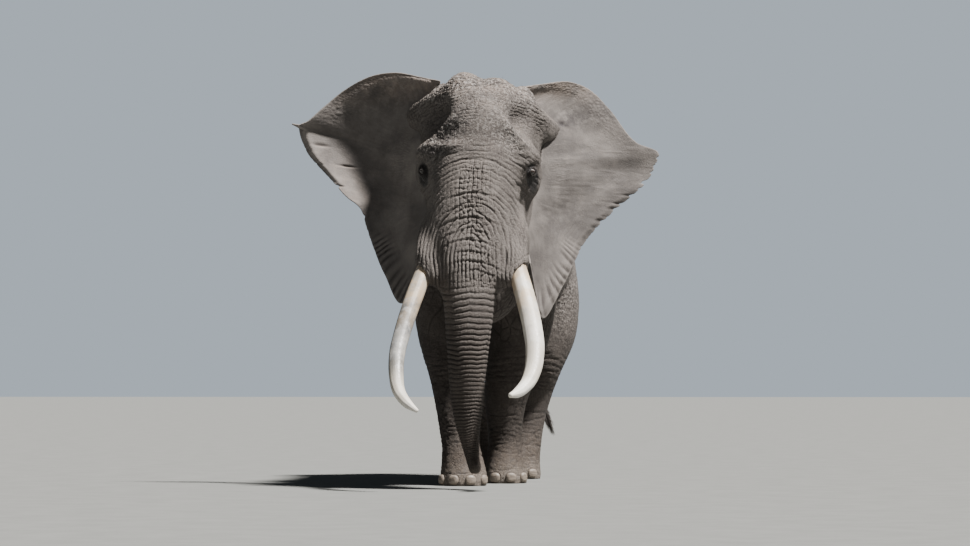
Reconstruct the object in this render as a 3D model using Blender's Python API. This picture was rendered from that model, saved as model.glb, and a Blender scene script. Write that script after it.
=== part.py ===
"""An African bush elephant bull, standing life size, as a still display model.

Every soft part is first modelled as one body from named masses, and then parted with
thin cuts into head, neck, trunk, torso, legs and tail.  Ears, tusks, eyes, toenails and
the tuft of the tail are made on their own and fitted against it.  Metres, +Z up; the
animal faces -Y and its left side is +X.
"""
import math

import bmesh
import bpy
import numpy as np

for old in list(bpy.data.objects):
    bpy.data.objects.remove(old, do_unlink=True)

GAP = 0.0004             # clear space kept between neighbouring pieces
BODY_TRIANGLES = 2360    # of the whole body before it is parted

# ---------------------------------------------------------------- named sizes (metres)
# Working frame: +Z up, the animal faces -Y, its left side is +X, y = 0 at the shoulder.
HEAD_TOP = 3.45          # crown of the skull above the ground
WITHERS = 3.28           # shoulder height
SADDLE = 3.06            # lowest point of the back
CROUP = 3.17             # over the hips
TAIL_ROOT_Z = 2.62
BELLY = 1.36
GIRTH = 0.705            # half width of the barrel
EYE_R = 0.037
EYES = {"left": (0.462, -1.262, 2.636), "right": (-0.434, -1.272, 2.646)}

# back, belly, half width and the level of that width, at stations along the body
TORSO = [  # y,     top,          bottom,       half, level
    (-0.74, 2.80, 1.90, 0.20, 2.32),
    (-0.62, 2.98, 1.70, 0.35, 2.28),
    (-0.35, WITHERS - 0.10, 1.50, 0.51, 2.24),
    (0.00, WITHERS, 1.42, 0.60, 2.20),
    (0.40, WITHERS - 0.05, BELLY + 0.04, 0.65, 2.14),
    (0.85, SADDLE + 0.02, BELLY, GIRTH - 0.01, 2.08),
    (1.25, SADDLE + 0.03, BELLY, GIRTH, 2.04),
    (1.68, CROUP - 0.02, BELLY + 0.07, GIRTH - 0.03, 2.08),
    (2.00, CROUP - 0.03, BELLY + 0.20, 0.61, 2.14),
    (2.32, 2.97, 1.74, 0.48, 2.22),
    (2.54, 2.72, 1.95, 0.33, 2.27),
    (2.66, 2.50, 2.10, 0.16, 2.30),
]
# centre and radii (side, depth) down the middle of the face and the trunk
PROBOSCIS = [  # x,  y,     z,    side,  depth
    (0.000, -0.92, 3.12, 0.28, 0.33),
    (0.000, -1.06, 2.93, 0.335, 0.36),
    (0.000, -1.17, 2.74, 0.385, 0.38),
    (-0.010, -1.25, 2.52, 0.390, 0.385),
    (-0.018, -1.33, 2.28, 0.385, 0.375),
    (-0.018, -1.43, 2.04, 0.395, 0.345),
    (-0.012, -1.52, 1.87, 0.370, 0.31),
    (-0.020, -1.58, 1.74, 0.300, 0.275),
    (-0.024, -1.62, 1.63, 0.240, 0.25),
    (-0.026, -1.645, 1.53, 0.216, 0.238),
    (-0.028, -1.67, 1.39, 0.203, 0.225),
    (-0.032, -1.70, 1.15, 0.178, 0.20),
    (-0.037, -1.70, 0.98, 0.165, 0.183),
    (-0.040, -1.69, 0.82, 0.151, 0.165),
    (-0.038, -1.68, 0.65, 0.134, 0.145),
    (-0.030, -1.675, 0.52, 0.112, 0.122),
    (-0.018, -1.68, 0.40, 0.090, 0.099),
    (0.000, -1.70, 0.30, 0.073, 0.082),
    (0.020, -1.74, 0.215, 0.064, 0.072),
    (0.042, -1.80, 0.155, 0.062, 0.066),
]
# legs: centre line and radii (side, depth) from inside the body to below the sole
LEGS = {
    "front_right": [
        (-0.400, -0.020, 2.350, 0.170, 0.400), (-0.410, -0.060, 1.900, 0.215, 0.380),
        (-0.385, -0.120, 1.500, 0.235, 0.300), (-0.345, -0.200, 1.200, 0.215, 0.245),
        (-0.290, -0.280, 0.980, 0.195, 0.215), (-0.240, -0.360, 0.720, 0.183, 0.200),
        (-0.205, -0.430, 0.470, 0.172, 0.180), (-0.180, -0.470, 0.300, 0.172, 0.182),
        (-0.163, -0.500, 0.150, 0.196, 0.215), (-0.157, -0.515, 0.050, 0.212, 0.238),
        (-0.157, -0.515, -0.060, 0.205, 0.232)],
    "front_left": [
        (0.400, 0.020, 2.350, 0.170, 0.400), (0.410, 0.060, 1.900, 0.215, 0.380),
        (0.330, 0.100, 1.500, 0.270, 0.300), (0.252, 0.140, 1.200, 0.268, 0.250),
        (0.198, 0.180, 0.950, 0.230, 0.215), (0.152, 0.240, 0.700, 0.189, 0.198),
        (0.148, 0.280, 0.470, 0.158, 0.178), (0.145, 0.290, 0.300, 0.156, 0.180),
        (0.145, 0.280, 0.150, 0.184, 0.212), (0.147, 0.270, 0.050, 0.202, 0.236),
        (0.147, 0.270, -0.060, 0.196, 0.230)],
    "hind_left": [
        (0.400, 1.927, 2.350, 0.200, 0.460), (0.450, 1.900, 1.900, 0.250, 0.450),
        (0.470, 1.807, 1.580, 0.262, 0.410), (0.475, 1.732, 1.340, 0.235, 0.345),
        (0.400, 1.714, 1.050, 0.190, 0.262), (0.335, 1.769, 0.840, 0.170, 0.215),
        (0.285, 1.788, 0.620, 0.155, 0.185), (0.245, 1.751, 0.360, 0.150, 0.172),
        (0.212, 1.695, 0.140, 0.172, 0.205), (0.205, 1.676, 0.050, 0.188, 0.228),
        (0.205, 1.676, -0.060, 0.182, 0.222)],
    "hind_right": [
        (-0.400, 1.955, 2.350, 0.200, 0.460), (-0.450, 1.993, 1.900, 0.250, 0.450),
        (-0.470, 1.974, 1.580, 0.262, 0.410), (-0.455, 1.955, 1.340, 0.235, 0.345),
        (-0.385, 2.011, 1.050, 0.190, 0.262), (-0.325, 2.141, 0.840, 0.170, 0.215),
        (-0.275, 2.234, 0.620, 0.155, 0.185), (-0.235, 2.253, 0.360, 0.150, 0.172),
        (-0.212, 2.216, 0.140, 0.172, 0.205), (-0.208, 2.197, 0.050, 0.188, 0.228),
        (-0.208, 2.197, -0.060, 0.182, 0.222)],
}
NECK = [(0, 0.05, 2.42, 0.50, 0.74), (0, -0.35, 2.46, 0.47, 0.68), (0, -0.70, 2.56, 0.42, 0.62), (0, -1.0, 2.68, 0.36, 0.52)]
TAIL = [(0.000, 2.439, 2.660, 0.110, 0.120), (0.010, 2.653, 2.520, 0.095, 0.100), (0.030, 2.765, 2.250, 0.062, 0.066),
        (0.070, 2.820, 1.850, 0.047, 0.050), (0.130, 2.830, 1.420, 0.037, 0.039), (0.220, 2.811, 1.050, 0.029, 0.031),
        (0.310, 2.783, 0.760, 0.022, 0.024), (0.345, 2.774, 0.660, 0.017, 0.018)]
TUFT = [(0.348, 2.774, 0.652, 0.018, 0.019), (0.375, 2.765, 0.570, 0.040, 0.036), (0.408, 2.755, 0.480, 0.042, 0.038), (0.445, 2.737, 0.385, 0.012, 0.012)]
SHEATH = [(0.20, -1.00, 2.50, 0.16, 0.20), (0.26, -1.20, 2.26, 0.170, 0.20), (0.320, -1.38, 2.07, 0.158, 0.175), (0.352, -1.50, 1.94, 0.128, 0.150),
          (0.362, -1.575, 1.865, 0.104, 0.145), (0.338, -1.640, 1.775, 0.080, 0.120)]
LIP = [(0.18, -1.38, 2.08, 0.16, 0.16), (0.25, -1.52, 1.90, 0.125, 0.125), (0.290, -1.630, 1.77, 0.095, 0.125), (0.285, -1.680, 1.675, 0.062, 0.092)]
JAW = [(0.25, -0.78, 2.20, 0.15, 0.18), (0.17, -0.93, 1.96, 0.135, 0.15), (0.07, -1.07, 1.80, 0.10, 0.11), (0.0, -1.17, 1.72, 0.055, 0.06)]
# masses of muscle and bone: centre, radii; mirrored where x is not 0
MASSES = [
    ((0.13, -0.92, 2.9), (0.315, 0.47, 0.55)),      # the two halves of the crown
    ((0, -1.12, 2.92), (0.32, 0.40, 0.44)),        # forehead
    ((0.375, -1.15, 2.76), (0.150, 0.24, 0.165)),    # brow and cheek bone
    ((0.385, -1.02, 2.63), (0.155, 0.25, 0.24)),     # cheek behind the eye
    ((0.25, -0.96, 2.3), (0.165, 0.30, 0.42)),      # chewing muscle
    ((0.345, -0.76, 2.93), (0.175, 0.19, 0.50)),     # root of the ear
    ((0.345, -0.83, 2.33), (0.105, 0.12, 0.27)),     # foot of the ear
    ((0.38, -0.05, 2.35), (0.22, 0.42, 0.80)),       # shoulder blade
    ((0.4, 1.9, 2.32), (0.24, 0.52, 0.74)),        # hip and thigh
    ((0, -0.52, 1.78), (0.36, 0.34, 0.42)),        # brisket
]
CRESTS = {  # over each temple, out and down to the ear; the right one ends higher
    "left": [(0.20, -0.98, 3.36, 0.05, 0.06), (0.37, -0.96, 3.27, 0.055, 0.07), (0.485, -0.86, 3.15, 0.060, 0.080),
             (0.555, -0.71, 3.09, 0.068, 0.082), (0.61, -0.59, 3.06, 0.062, 0.075), (0.652, -0.50, 3.04, 0.046, 0.060)],
    "right": [(0.20, -0.98, 3.36, 0.05, 0.06), (0.37, -0.95, 3.29, 0.055, 0.07), (0.48, -0.84, 3.225, 0.060, 0.078),
              (0.55, -0.68, 3.20, 0.066, 0.078), (0.60, -0.54, 3.175, 0.060, 0.072), (0.640, -0.44, 3.155, 0.046, 0.060)],
}
WEBS = {  # skin that fills the corner under each crest
    "left": [(0.46, -0.82, 3.00, 0.07, 0.08), (0.545, -0.68, 2.985, 0.068, 0.080), (0.62, -0.55, 2.985, 0.048, 0.062)],
    "right": [(0.46, -0.80, 3.09, 0.07, 0.08), (0.54, -0.64, 3.085, 0.068, 0.080), (0.61, -0.50, 3.09, 0.048, 0.062)],
}
BROW = [(0.13, -1.36, 3.18, 0.05, 0.05), (0.24, -1.37, 3.05, 0.05, 0.05), (0.35, -1.34, 2.93, 0.05, 0.05), (0.44, -1.26, 2.82, 0.05, 0.05)]   # edge of the forehead
HEAD_ROLL = 0.032        # the head leans a little to its left
TUSKS = {  # root hidden in the sheath, then the free length: centre and radius
    "right": [(-0.300, -1.36, 2.05, 0.066), (-0.398, -1.60, 1.80, 0.072), (-0.480, -1.76, 1.555, 0.0725),
              (-0.547, -1.92, 1.308, 0.069), (-0.583, -2.06, 1.103, 0.065), (-0.577, -2.18, 0.94, 0.060),
              (-0.542, -2.30, 0.803, 0.051), (-0.462, -2.40, 0.707, 0.038), (-0.388, -2.46, 0.655, 0.020)],
    "left": [(0.290, -1.36, 2.05, 0.072), (0.372, -1.60, 1.80, 0.078), (0.450, -1.76, 1.556, 0.081),
             (0.508, -1.92, 1.348, 0.080), (0.542, -2.08, 1.143, 0.076), (0.533, -2.22, 0.981, 0.068),
             (0.485, -2.36, 0.860, 0.054), (0.412, -2.47, 0.792, 0.038), (0.372, -2.52, 0.778, 0.024)],
}
EAR_ROOT = [(0.0, 0.30, -0.80, 3.26), (0.33, 0.42, -0.76, 2.95), (0.66, 0.44, -0.78, 2.52), (1.0, 0.38, -0.90, 2.12)]
HOLLOW = {"left": 1.0, "right": 2.3}     # how far each ear is cupped
EAR_MARGIN = {
    "left": [(0.00, 0.36, -0.78, 3.385), (0.10, 0.545, -0.62, 3.425), (0.20, 0.75, -0.47, 3.452), (0.28, 0.92, -0.37, 3.39),
             (0.36, 1.09, -0.31, 3.22), (0.45, 1.32, -0.26, 2.94), (0.50, 1.50, -0.22, 2.86), (0.55, 1.47, -0.22, 2.73),
             (0.61, 1.385, -0.26, 2.58), (0.68, 1.215, -0.33, 2.43), (0.75, 1.005, -0.43, 2.23), (0.80, 0.88, -0.50, 2.08),
             (0.85, 0.80, -0.58, 1.92), (0.90, 0.70, -0.68, 1.70), (0.95, 0.53, -0.82, 1.42), (1.00, 0.44, -0.93, 1.86)],
    "right": [(0.00, -0.34, -0.78, 3.44), (0.08, -0.52, -0.65, 3.49), (0.16, -0.75, -0.51, 3.54), (0.24, -0.975, -0.44, 3.515),
              (0.32, -1.20, -0.38, 3.405), (0.40, -1.38, -0.36, 3.26), (0.46, -1.52, -0.34, 3.135), (0.50, -1.60, -0.33, 3.09),
              (0.56, -1.535, -0.36, 2.877), (0.61, -1.43, -0.38, 2.746), (0.66, -1.29, -0.41, 2.60), (0.71, -1.18, -0.43, 2.48),
              (0.76, -1.05, -0.45, 2.37), (0.81, -0.99, -0.49, 2.19), (0.86, -0.915, -0.55, 1.995), (0.91, -0.82, -0.65, 1.795),
              (0.955, -0.664, -0.76, 1.55), (1.00, -0.46, -0.92, 1.90)],
}


# ---------------------------------------------------------------- curves and lofts
def smooth_line(rows):
    """A function of the first column that passes smoothly through the other columns."""
    p = np.array(rows, float)
    x, y = p[:, 0], p[:, 1:]
    h = np.diff(x)[:, None]
    d = np.diff(y, axis=0) / h
    m = np.vstack([d[:1], (d[:-1] * h[1:] + d[1:] * h[:-1]) / (h[:-1] + h[1:]), d[-1:]])

    def at(t):
        t = np.clip(np.asarray(t, float), x[0], x[-1])
        i = np.clip(np.searchsorted(x, t, side="right") - 1, 0, len(x) - 2)
        w = x[i + 1] - x[i]
        s = ((t - x[i]) / w)[..., None]
        w = w[..., None]
        return ((2 * s**3 - 3 * s**2 + 1) * y[i] + (s**3 - 2 * s**2 + s) * w * m[i]
                + (3 * s**2 - 2 * s**3) * y[i + 1] + (s**3 - s**2) * w * m[i + 1])
    return at


def along(rows):
    """The same, with the distance along the rows' own points as the parameter; also its length."""
    p = np.array(rows, float)
    s = np.concatenate([[0], np.cumsum(np.linalg.norm(np.diff(p[:, :3], axis=0), axis=1))])
    return smooth_line(np.column_stack([s, p])), s[-1]


def closed_loft(rings):
    """Vertices and faces of rings joined end to end, closed by a point at each end."""
    n, k = rings.shape[:2]
    verts = np.vstack([rings.reshape(-1, 3), rings[0].mean(0), rings[-1].mean(0)])
    i, j = np.meshgrid(np.arange(n - 1), np.arange(k), indexing="ij")
    jn = (j + 1) % k
    quads = np.stack([i * k + j, i * k + jn, (i + 1) * k + jn, (i + 1) * k + j], -1).reshape(-1, 4)
    faces = [tuple(q) for q in quads.tolist()]
    a, b = n * k, n * k + 1
    faces += [(a, (q + 1) % k, q) for q in range(k)]
    faces += [(b, (n - 1) * k + q, (n - 1) * k + (q + 1) % k) for q in range(k)]
    return verts, faces


def tube(rows, ring=32, step=0.05, side=(1, 0, 0), power=1.0):
    """An oval tube: rows of x, y, z, half size along side, half size across it."""
    f, length = along(rows)
    s = np.linspace(0, length, max(4, int(length / step) + 2))
    p = f(s)
    c, r = p[:, :3], p[:, 3:]
    if r.shape[1] == 1:
        r = np.repeat(r, 2, axis=1)
    t = np.gradient(c, axis=0)
    t /= np.linalg.norm(t, axis=1)[:, None]
    e = np.array(side, float) - t * (t @ np.array(side, float))[:, None]
    e /= np.linalg.norm(e, axis=1)[:, None]
    b = np.cross(t, e)
    a = np.arange(ring) * 2 * math.pi / ring
    ca, sa = np.cos(a), np.sin(a)
    ca, sa = np.sign(ca) * np.abs(ca) ** power, np.sign(sa) * np.abs(sa) ** power
    rings = (c[:, None] + e[:, None] * (r[:, :1] * ca)[..., None] + b[:, None] * (r[:, 1:2] * sa)[..., None])
    return closed_loft(rings)


def torso(ring=64, step=0.06):
    f = smooth_line(TORSO)
    y = np.linspace(TORSO[0][0], TORSO[-1][0], int((TORSO[-1][0] - TORSO[0][0]) / step))
    top, bottom, half, level = f(y).T
    a = np.arange(ring) * 2 * math.pi / ring
    c, s = np.cos(a), np.sin(a)
    x = half[:, None] * np.sign(c) * np.abs(c) ** np.where(s > 0, 1.22, 0.97)
    z = level[:, None] + np.where(s > 0, (top - level)[:, None] * s, (level - bottom)[:, None] * s)
    rings = np.stack([x, np.broadcast_to(y[:, None], x.shape), z], -1)[:, ::-1]
    return closed_loft(rings)


def ellipsoid(centre, radii, ring=32):
    t = np.linspace(0, math.pi, ring // 2 + 1)[1:-1]
    a = np.arange(ring) * 2 * math.pi / ring
    rings = np.stack([np.sin(t)[:, None] * np.cos(a), np.sin(t)[:, None] * np.sin(a),
                      np.broadcast_to(np.cos(t)[:, None], (len(t), ring))], -1)[:, ::-1]
    v, f = closed_loft(rings * np.array(radii) + np.array(centre))
    v[-2], v[-1] = np.array(centre) + (0, 0, radii[2]), np.array(centre) - (0, 0, radii[2])
    return v, f


def mirrored(rows):
    return [(-r[0],) + tuple(r[1:]) for r in rows]


def body_masses(fine=1.0, tail=True):
    """Every closed mass that the body is made from; they overlap."""
    n = int(32 * fine)
    step = 0.05 / fine
    parts = [torso(2 * n, step), tube(NECK, n, step), tube(PROBOSCIS, n + n // 2, step * 0.6)]
    if tail:
        parts.append(tube(TAIL, n, step))
    parts += [tube(leg, n, step) for leg in LEGS.values()]
    for rows in [SHEATH, LIP, JAW, BROW]:
        parts += [tube(rows, n, step), tube(mirrored(rows), n, step)]
    for rows in (CRESTS, WEBS):
        parts += [tube(rows["left"], n, step), tube(mirrored(rows["right"]), n, step)]
    for centre, radii in MASSES:
        parts.append(ellipsoid(centre, radii, n))
        if centre[0]:
            parts.append(ellipsoid((-centre[0],) + centre[1:], radii, n))
    return parts


def mesh_object(name, verts, faces):
    mesh = bpy.data.meshes.new(name)
    mesh.from_pydata([tuple(v) for v in np.asarray(verts).tolist()], [], faces)
    mesh.update()
    obj = bpy.data.objects.new(name, mesh)
    bpy.context.scene.collection.objects.link(obj)
    return obj


def joined(name, parts):
    verts, faces, n = [], [], 0
    for v, f in parts:
        verts.append(np.asarray(v))
        faces += [tuple(i + n for i in q) for q in f]
        n += len(v)
    return mesh_object(name, np.vstack(verts), faces)


def facing_out(obj):
    bm = bmesh.new()
    bm.from_mesh(obj.data)
    bmesh.ops.recalc_face_normals(bm, faces=bm.faces)
    bm.to_mesh(obj.data)
    bm.free()


def applied(obj):
    """The object with its modifiers made real."""
    graph = bpy.context.evaluated_depsgraph_get()
    mesh = bpy.data.meshes.new_from_object(obj.evaluated_get(graph))
    old = obj.data
    obj.modifiers.clear()
    obj.data = mesh
    bpy.data.meshes.remove(old)
    return obj


def points_of(obj):
    co = np.empty(len(obj.data.vertices) * 3, np.float32)
    obj.data.vertices.foreach_get("co", co)
    return co.reshape(-1, 3).astype(float)


def set_points(obj, co):
    obj.data.vertices.foreach_set("co", np.asarray(co, np.float32).ravel())
    obj.data.update()


def normals_of(obj):
    no = np.empty(len(obj.data.vertices) * 3, np.float32)
    obj.data.vertex_normals.foreach_get("vector", no)
    return no.reshape(-1, 3).astype(float)


def edges_of(obj):
    e = np.empty(len(obj.data.edges) * 2, np.int32)
    obj.data.edges.foreach_get("vertices", e)
    return e.reshape(-1, 2)


def relax(co, edges, weight, rounds, keep=0.0):
    """Each point moves towards the mean of its neighbours; keep gives back some of the lost size."""
    n = len(co)
    a, b = edges[:, 0], edges[:, 1]
    count = np.bincount(a, minlength=n) + np.bincount(b, minlength=n)
    for _ in range(rounds):
        for w in (0.6, -0.6 * keep) if keep else (0.6,):
            mean = np.stack([np.bincount(a, co[b, k], n) + np.bincount(b, co[a, k], n) for k in range(3)], 1)
            co = co + w * weight[:, None] * (mean / count[:, None] - co)
    return co


def near(co, centre, radii):
    """1 at the centre, falling smoothly to 0 a little past the radii."""
    q = ((co - np.array(centre)) / np.array(radii)) ** 2
    return np.exp(-q.sum(1))


# soft forms pressed into or raised from the surface: centre, radii, height; mirrored in x
FORMS = [
    ((0.385, -1.17, 3.09), (0.13, 0.18, 0.14), -0.120),   # hollow of the temple
    ((0.54, -0.92, 2.75), (0.08, 0.05, 0.20), -0.050),   # crease in front of the ear
    ((0.45, -1.24, 2.77), (0.12, 0.14, 0.06), 0.022),    # brow
    ((0.42, -1.3, 2.38), (0.10, 0.18, 0.13), -0.030),   # hollow under the eye
    ((0, -1.46, 3.05), (0.16, 0.16, 0.16), -0.015),    # dip of the forehead
    ((0, -1.62, 2.42), (0.26, 0.20, 0.22), 0.020),     # bridge of the trunk
    ((0.27, -1.66, 1.92), (0.06, 0.12, 0.16), -0.030),   # furrow between trunk and sheath
    ((0.3, -0.45, 2.95), (0.16, 0.25, 0.25), -0.050),   # hollow behind the ear
    ((0.62, 0.533, 2.35), (0.15, 0.20, 0.50), -0.030),    # behind the shoulder blade
    ((0.6, 1.369, 1.5), (0.15, 0.20, 0.30), -0.030),    # flank in front of the thigh
    ((0.66, 0.998, 2.1), (0.20, 0.45, 0.50), 0.015),     # ribs
    ((0.48, 1.751, 2.93), (0.14, 0.16, 0.14), 0.045),     # point of the hip
    ((0.42, 2.207, 2.62), (0.18, 0.25, 0.25), -0.030),    # hollow of the rump
]


ONE_SIDED = [((-0.13, -0.95, 3.44), (0.15, 0.25, 0.16), 0.060), ((0.13, -0.95, 3.44), (0.12, 0.25, 0.12), 0.018),
             ((0.42, -1.05, 3.06), (0.13, 0.18, 0.13), 0.045)]


def ramp(x, lo, hi):
    t = np.clip((np.asarray(x, float) - lo) / (hi - lo), 0, 1)
    return t * t * (3 - 2 * t)


def rolled(co):
    """The head's lean: a small turn about the neck, fading into the neck and down the trunk."""
    w = (1 - ramp(co[:, 1], -0.95, -0.45)) * ramp(co[:, 2], 1.55, 1.95)
    out = co.copy()
    out[:, 0] += HEAD_ROLL * (co[:, 2] - 2.35) * w
    out[:, 2] -= HEAD_ROLL * co[:, 0] * w
    return out


def body(voxel, fine=1.0, rounds=6, name="body", tail=True):
    obj = joined(name, body_masses(fine, tail))
    facing_out(obj)
    m = obj.modifiers.new("Fuse", "REMESH")
    m.mode = "VOXEL"
    m.voxel_size = voxel
    applied(obj)
    co, edges = points_of(obj), edges_of(obj)
    slim = np.clip(1.15 - co[:, 2] / 0.35, 0, 1) * (co[:, 1] < -1.3)             # tip of the trunk
    slim = np.maximum(slim, (co[:, 1] > 2.86) & (co[:, 2] < 2.4))                # tail
    sheath = near(np.abs(co) * (1, -1, 1), (0.40, -1.55, 1.88), (0.14, 0.14, 0.12))
    lip = near(np.abs(co) * (1, -1, 1), (0.30, -1.67, 1.74), (0.12, 0.12, 0.13))
    weight = (1 - 0.9 * slim) * (1 - 0.75 * np.maximum(sheath, lip))
    co = relax(co, edges, weight, rounds, keep=0.0)
    set_points(obj, co)
    no = normals_of(obj)
    for centre, radii, height in FORMS:
        w = near(co, centre, radii)
        if centre[0]:
            w = w + near(co, (-centre[0],) + centre[1:], radii)
        co = co + no * (w * height)[:, None]
    co = rolled(co)
    no = normals_of(obj)
    for centre, radii, height in ONE_SIDED:
        co = co + no * (near(co, centre, radii) * height)[:, None]
    set_points(obj, co)
    return obj


def ear_sheet(side, nu, nv):
    """Middle surface of an ear: nu steps from root to margin, nv round the margin from the crown to the jaw."""
    s = 1 if side == "left" else -1
    v = np.linspace(0, 1, nv)
    root = smooth_line(EAR_ROOT)(v) * (s, 1, 1)
    edge = smooth_line(EAR_MARGIN[side])(v)
    u = np.linspace(0, 1, nu)[:, None, None]
    p = root[None] * (1 - u) + edge[None] * u
    # the sheet hollows backwards between root and margin, and the upper rim rolls back
    hollow = np.sin(math.pi * u[..., 0]) * (0.055 + 0.05 * HOLLOW[side] ** 1.8 * np.sin(math.pi * v) ** 1.5)[None]
    p[..., 1] += hollow
    return p


def sheet_solid(name, p, thick):
    """A closed solid of the given thickness about a grid of points."""
    nu, nv = p.shape[:2]
    du = np.gradient(p, axis=0)
    dv = np.gradient(p, axis=1)
    n = np.cross(du, dv)
    n /= np.maximum(np.linalg.norm(n, axis=2), 1e-9)[..., None]
    a, b = p + n * thick[..., None] / 2, p - n * thick[..., None] / 2
    verts = np.vstack([a.reshape(-1, 3), b.reshape(-1, 3)])
    k = nu * nv
    faces = []
    for i in range(nu - 1):
        for j in range(nv - 1):
            q = (i * nv + j, (i + 1) * nv + j, (i + 1) * nv + j + 1, i * nv + j + 1)
            faces.append(q)
            faces.append(tuple(k + x for x in reversed(q)))
    rim = [i * nv for i in range(nu)] + [(nu - 1) * nv + j for j in range(1, nv)] + [i * nv + nv - 1 for i in range(nu - 2, -1, -1)] + list(range(nv - 2, 0, -1))
    for x, y in zip(rim, rim[1:] + rim[:1]):
        faces.append((y, x, k + x, k + y))
    obj = mesh_object(name, verts, faces)
    facing_out(obj)
    return obj


def ear(side, nu=12, nv=40, name=None):
    p = ear_sheet(side, nu, nv)
    u = np.linspace(0, 1, nu)[:, None]
    v = np.linspace(0, 1, nv)[None]
    thick = 0.018 + 0.055 * (1 - u) ** 1.6 * np.clip(np.sin(math.pi * v), 0, 1) ** 0.6
    return sheet_solid(name or "ear_" + side, p, thick)


# ---------------------------------------------------------------- materials
def material(name, colour, roughness):
    m = bpy.data.materials.new(name)
    m.use_nodes = True
    b = m.node_tree.nodes["Principled BSDF"]
    b.inputs["Base Color"].default_value = (*colour, 1)
    b.inputs["Roughness"].default_value = roughness
    b.inputs["Metallic"].default_value = 0.0
    return m


SKIN = material("skin", (0.20, 0.185, 0.175), 0.80)
IVORY = material("ivory", (0.78, 0.72, 0.62), 0.38)
EYE = material("eye", (0.05, 0.025, 0.012), 0.12)
NAIL = material("nail", (0.36, 0.31, 0.26), 0.55)
HAIR = material("hair", (0.02, 0.018, 0.017), 0.60)


# ---------------------------------------------------------------- cutting tools
def grown(outline, by):
    """A convex outline, counter-clockwise, with every side moved outwards."""
    p = np.array(outline, float)
    d = np.roll(p, -1, axis=0) - p
    n = np.stack([d[:, 1], -d[:, 0]], 1) / np.linalg.norm(d, axis=1)[:, None]
    out = []
    for i in range(len(p)):
        a, b = n[i - 1], n[i]
        out.append(np.linalg.solve(np.array([a, b]), [a @ p[i] + by, b @ p[i] + by]))
    return np.array(out)


def prism(axis, outline, lo, hi, by=0.0):
    """A block with a convex outline seen along one axis: (y, z) along x, or (x, z) along y."""
    p = grown(outline, by)
    lo, hi = lo - by, hi + by
    verts = []
    for t in (lo, hi):
        verts += [((t, a, b) if axis == "x" else (a, t, b)) for a, b in p]
    n = len(p)
    faces = [tuple(range(n)), tuple(range(2 * n - 1, n - 1, -1))]
    faces += [(i, n + i, n + (i + 1) % n, (i + 1) % n) for i in range(n)]
    obj = mesh_object("cutter", verts, faces)
    facing_out(obj)
    return obj


def duplicate(obj, name):
    new = bpy.data.objects.new(name, obj.data.copy())
    bpy.context.scene.collection.objects.link(new)
    return new


def boolean(obj, tool, operation, keep_tool=False):
    m = obj.modifiers.new("Cut", "BOOLEAN")
    m.operation = operation
    m.object = tool
    m.solver = "EXACT"
    applied(obj)
    if not keep_tool:
        bpy.data.objects.remove(tool, do_unlink=True)
    return obj


def swollen(obj, by, name="swollen"):
    """A copy whose surface lies a little further out."""
    new = duplicate(obj, name)
    set_points(new, points_of(new) + normals_of(new) * by)
    return new


def largest_shell(obj):
    """Only the biggest closed shell of the object, without crumbs left by the cuts."""
    bm = bmesh.new()
    bm.from_mesh(obj.data)
    bmesh.ops.remove_doubles(bm, verts=bm.verts, dist=2e-5)
    bmesh.ops.dissolve_degenerate(bm, edges=bm.edges, dist=2e-5)
    bmesh.ops.triangulate(bm, faces=bm.faces)
    seen, groups = set(), []
    for v in bm.verts:
        if v.index in seen:
            continue
        stack, group = [v], []
        seen.add(v.index)
        while stack:
            w = stack.pop()
            group.append(w)
            for e in w.link_edges:
                o = e.other_vert(w)
                if o.index not in seen:
                    seen.add(o.index)
                    stack.append(o)
        groups.append(group)
    groups.sort(key=len)
    for group in groups[:-1]:
        bmesh.ops.delete(bm, geom=group, context="VERTS")
    bmesh.ops.recalc_face_normals(bm, faces=bm.faces)
    bm.to_mesh(obj.data)
    bm.free()
    return obj


def part_off(work, name, tools):
    """The piece of the body inside the tools' blocks; the body keeps the rest, a gap away."""
    block = prism(*tools[0])
    for tool in tools[1:]:
        boolean(block, prism(*tool), "UNION")
    piece = boolean(duplicate(work, name), block, "INTERSECT")
    for tool in tools:
        boolean(work, prism(*tool, GAP), "DIFFERENCE")
    return largest_shell(piece)


# ---------------------------------------------------------------- the body
work = body(0.032, 1.3, 12, "torso", tail=False)
m = work.modifiers.new("Fewer", "DECIMATE")
m.decimate_type = "COLLAPSE"
m.use_collapse_triangulate = True
m.ratio = BODY_TRIANGLES / (2 * len(work.data.polygons))
applied(work)

# soles: one level cut for the four feet
sole = prism("x", [(-4, -1), (4, -1), (4, 0), (-4, 0)], -3, 3)
boolean(work, sole, "DIFFERENCE")
largest_shell(work)

ARM = [(0.0, 0.80), (1.1, 0.80), (1.1, 2.12), (0.87, 2.12), (0.0, 1.27)]
THIGH = [(0.0, -0.1), (1.1, -0.1), (1.1, 2.20), (0.87, 2.20), (0.0, 1.35)]
FOOT_SPLIT = -0.055      # where the two forelegs pass each other


def flipped(outline):
    return [(-x, z) for x, z in reversed(outline)]


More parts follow.
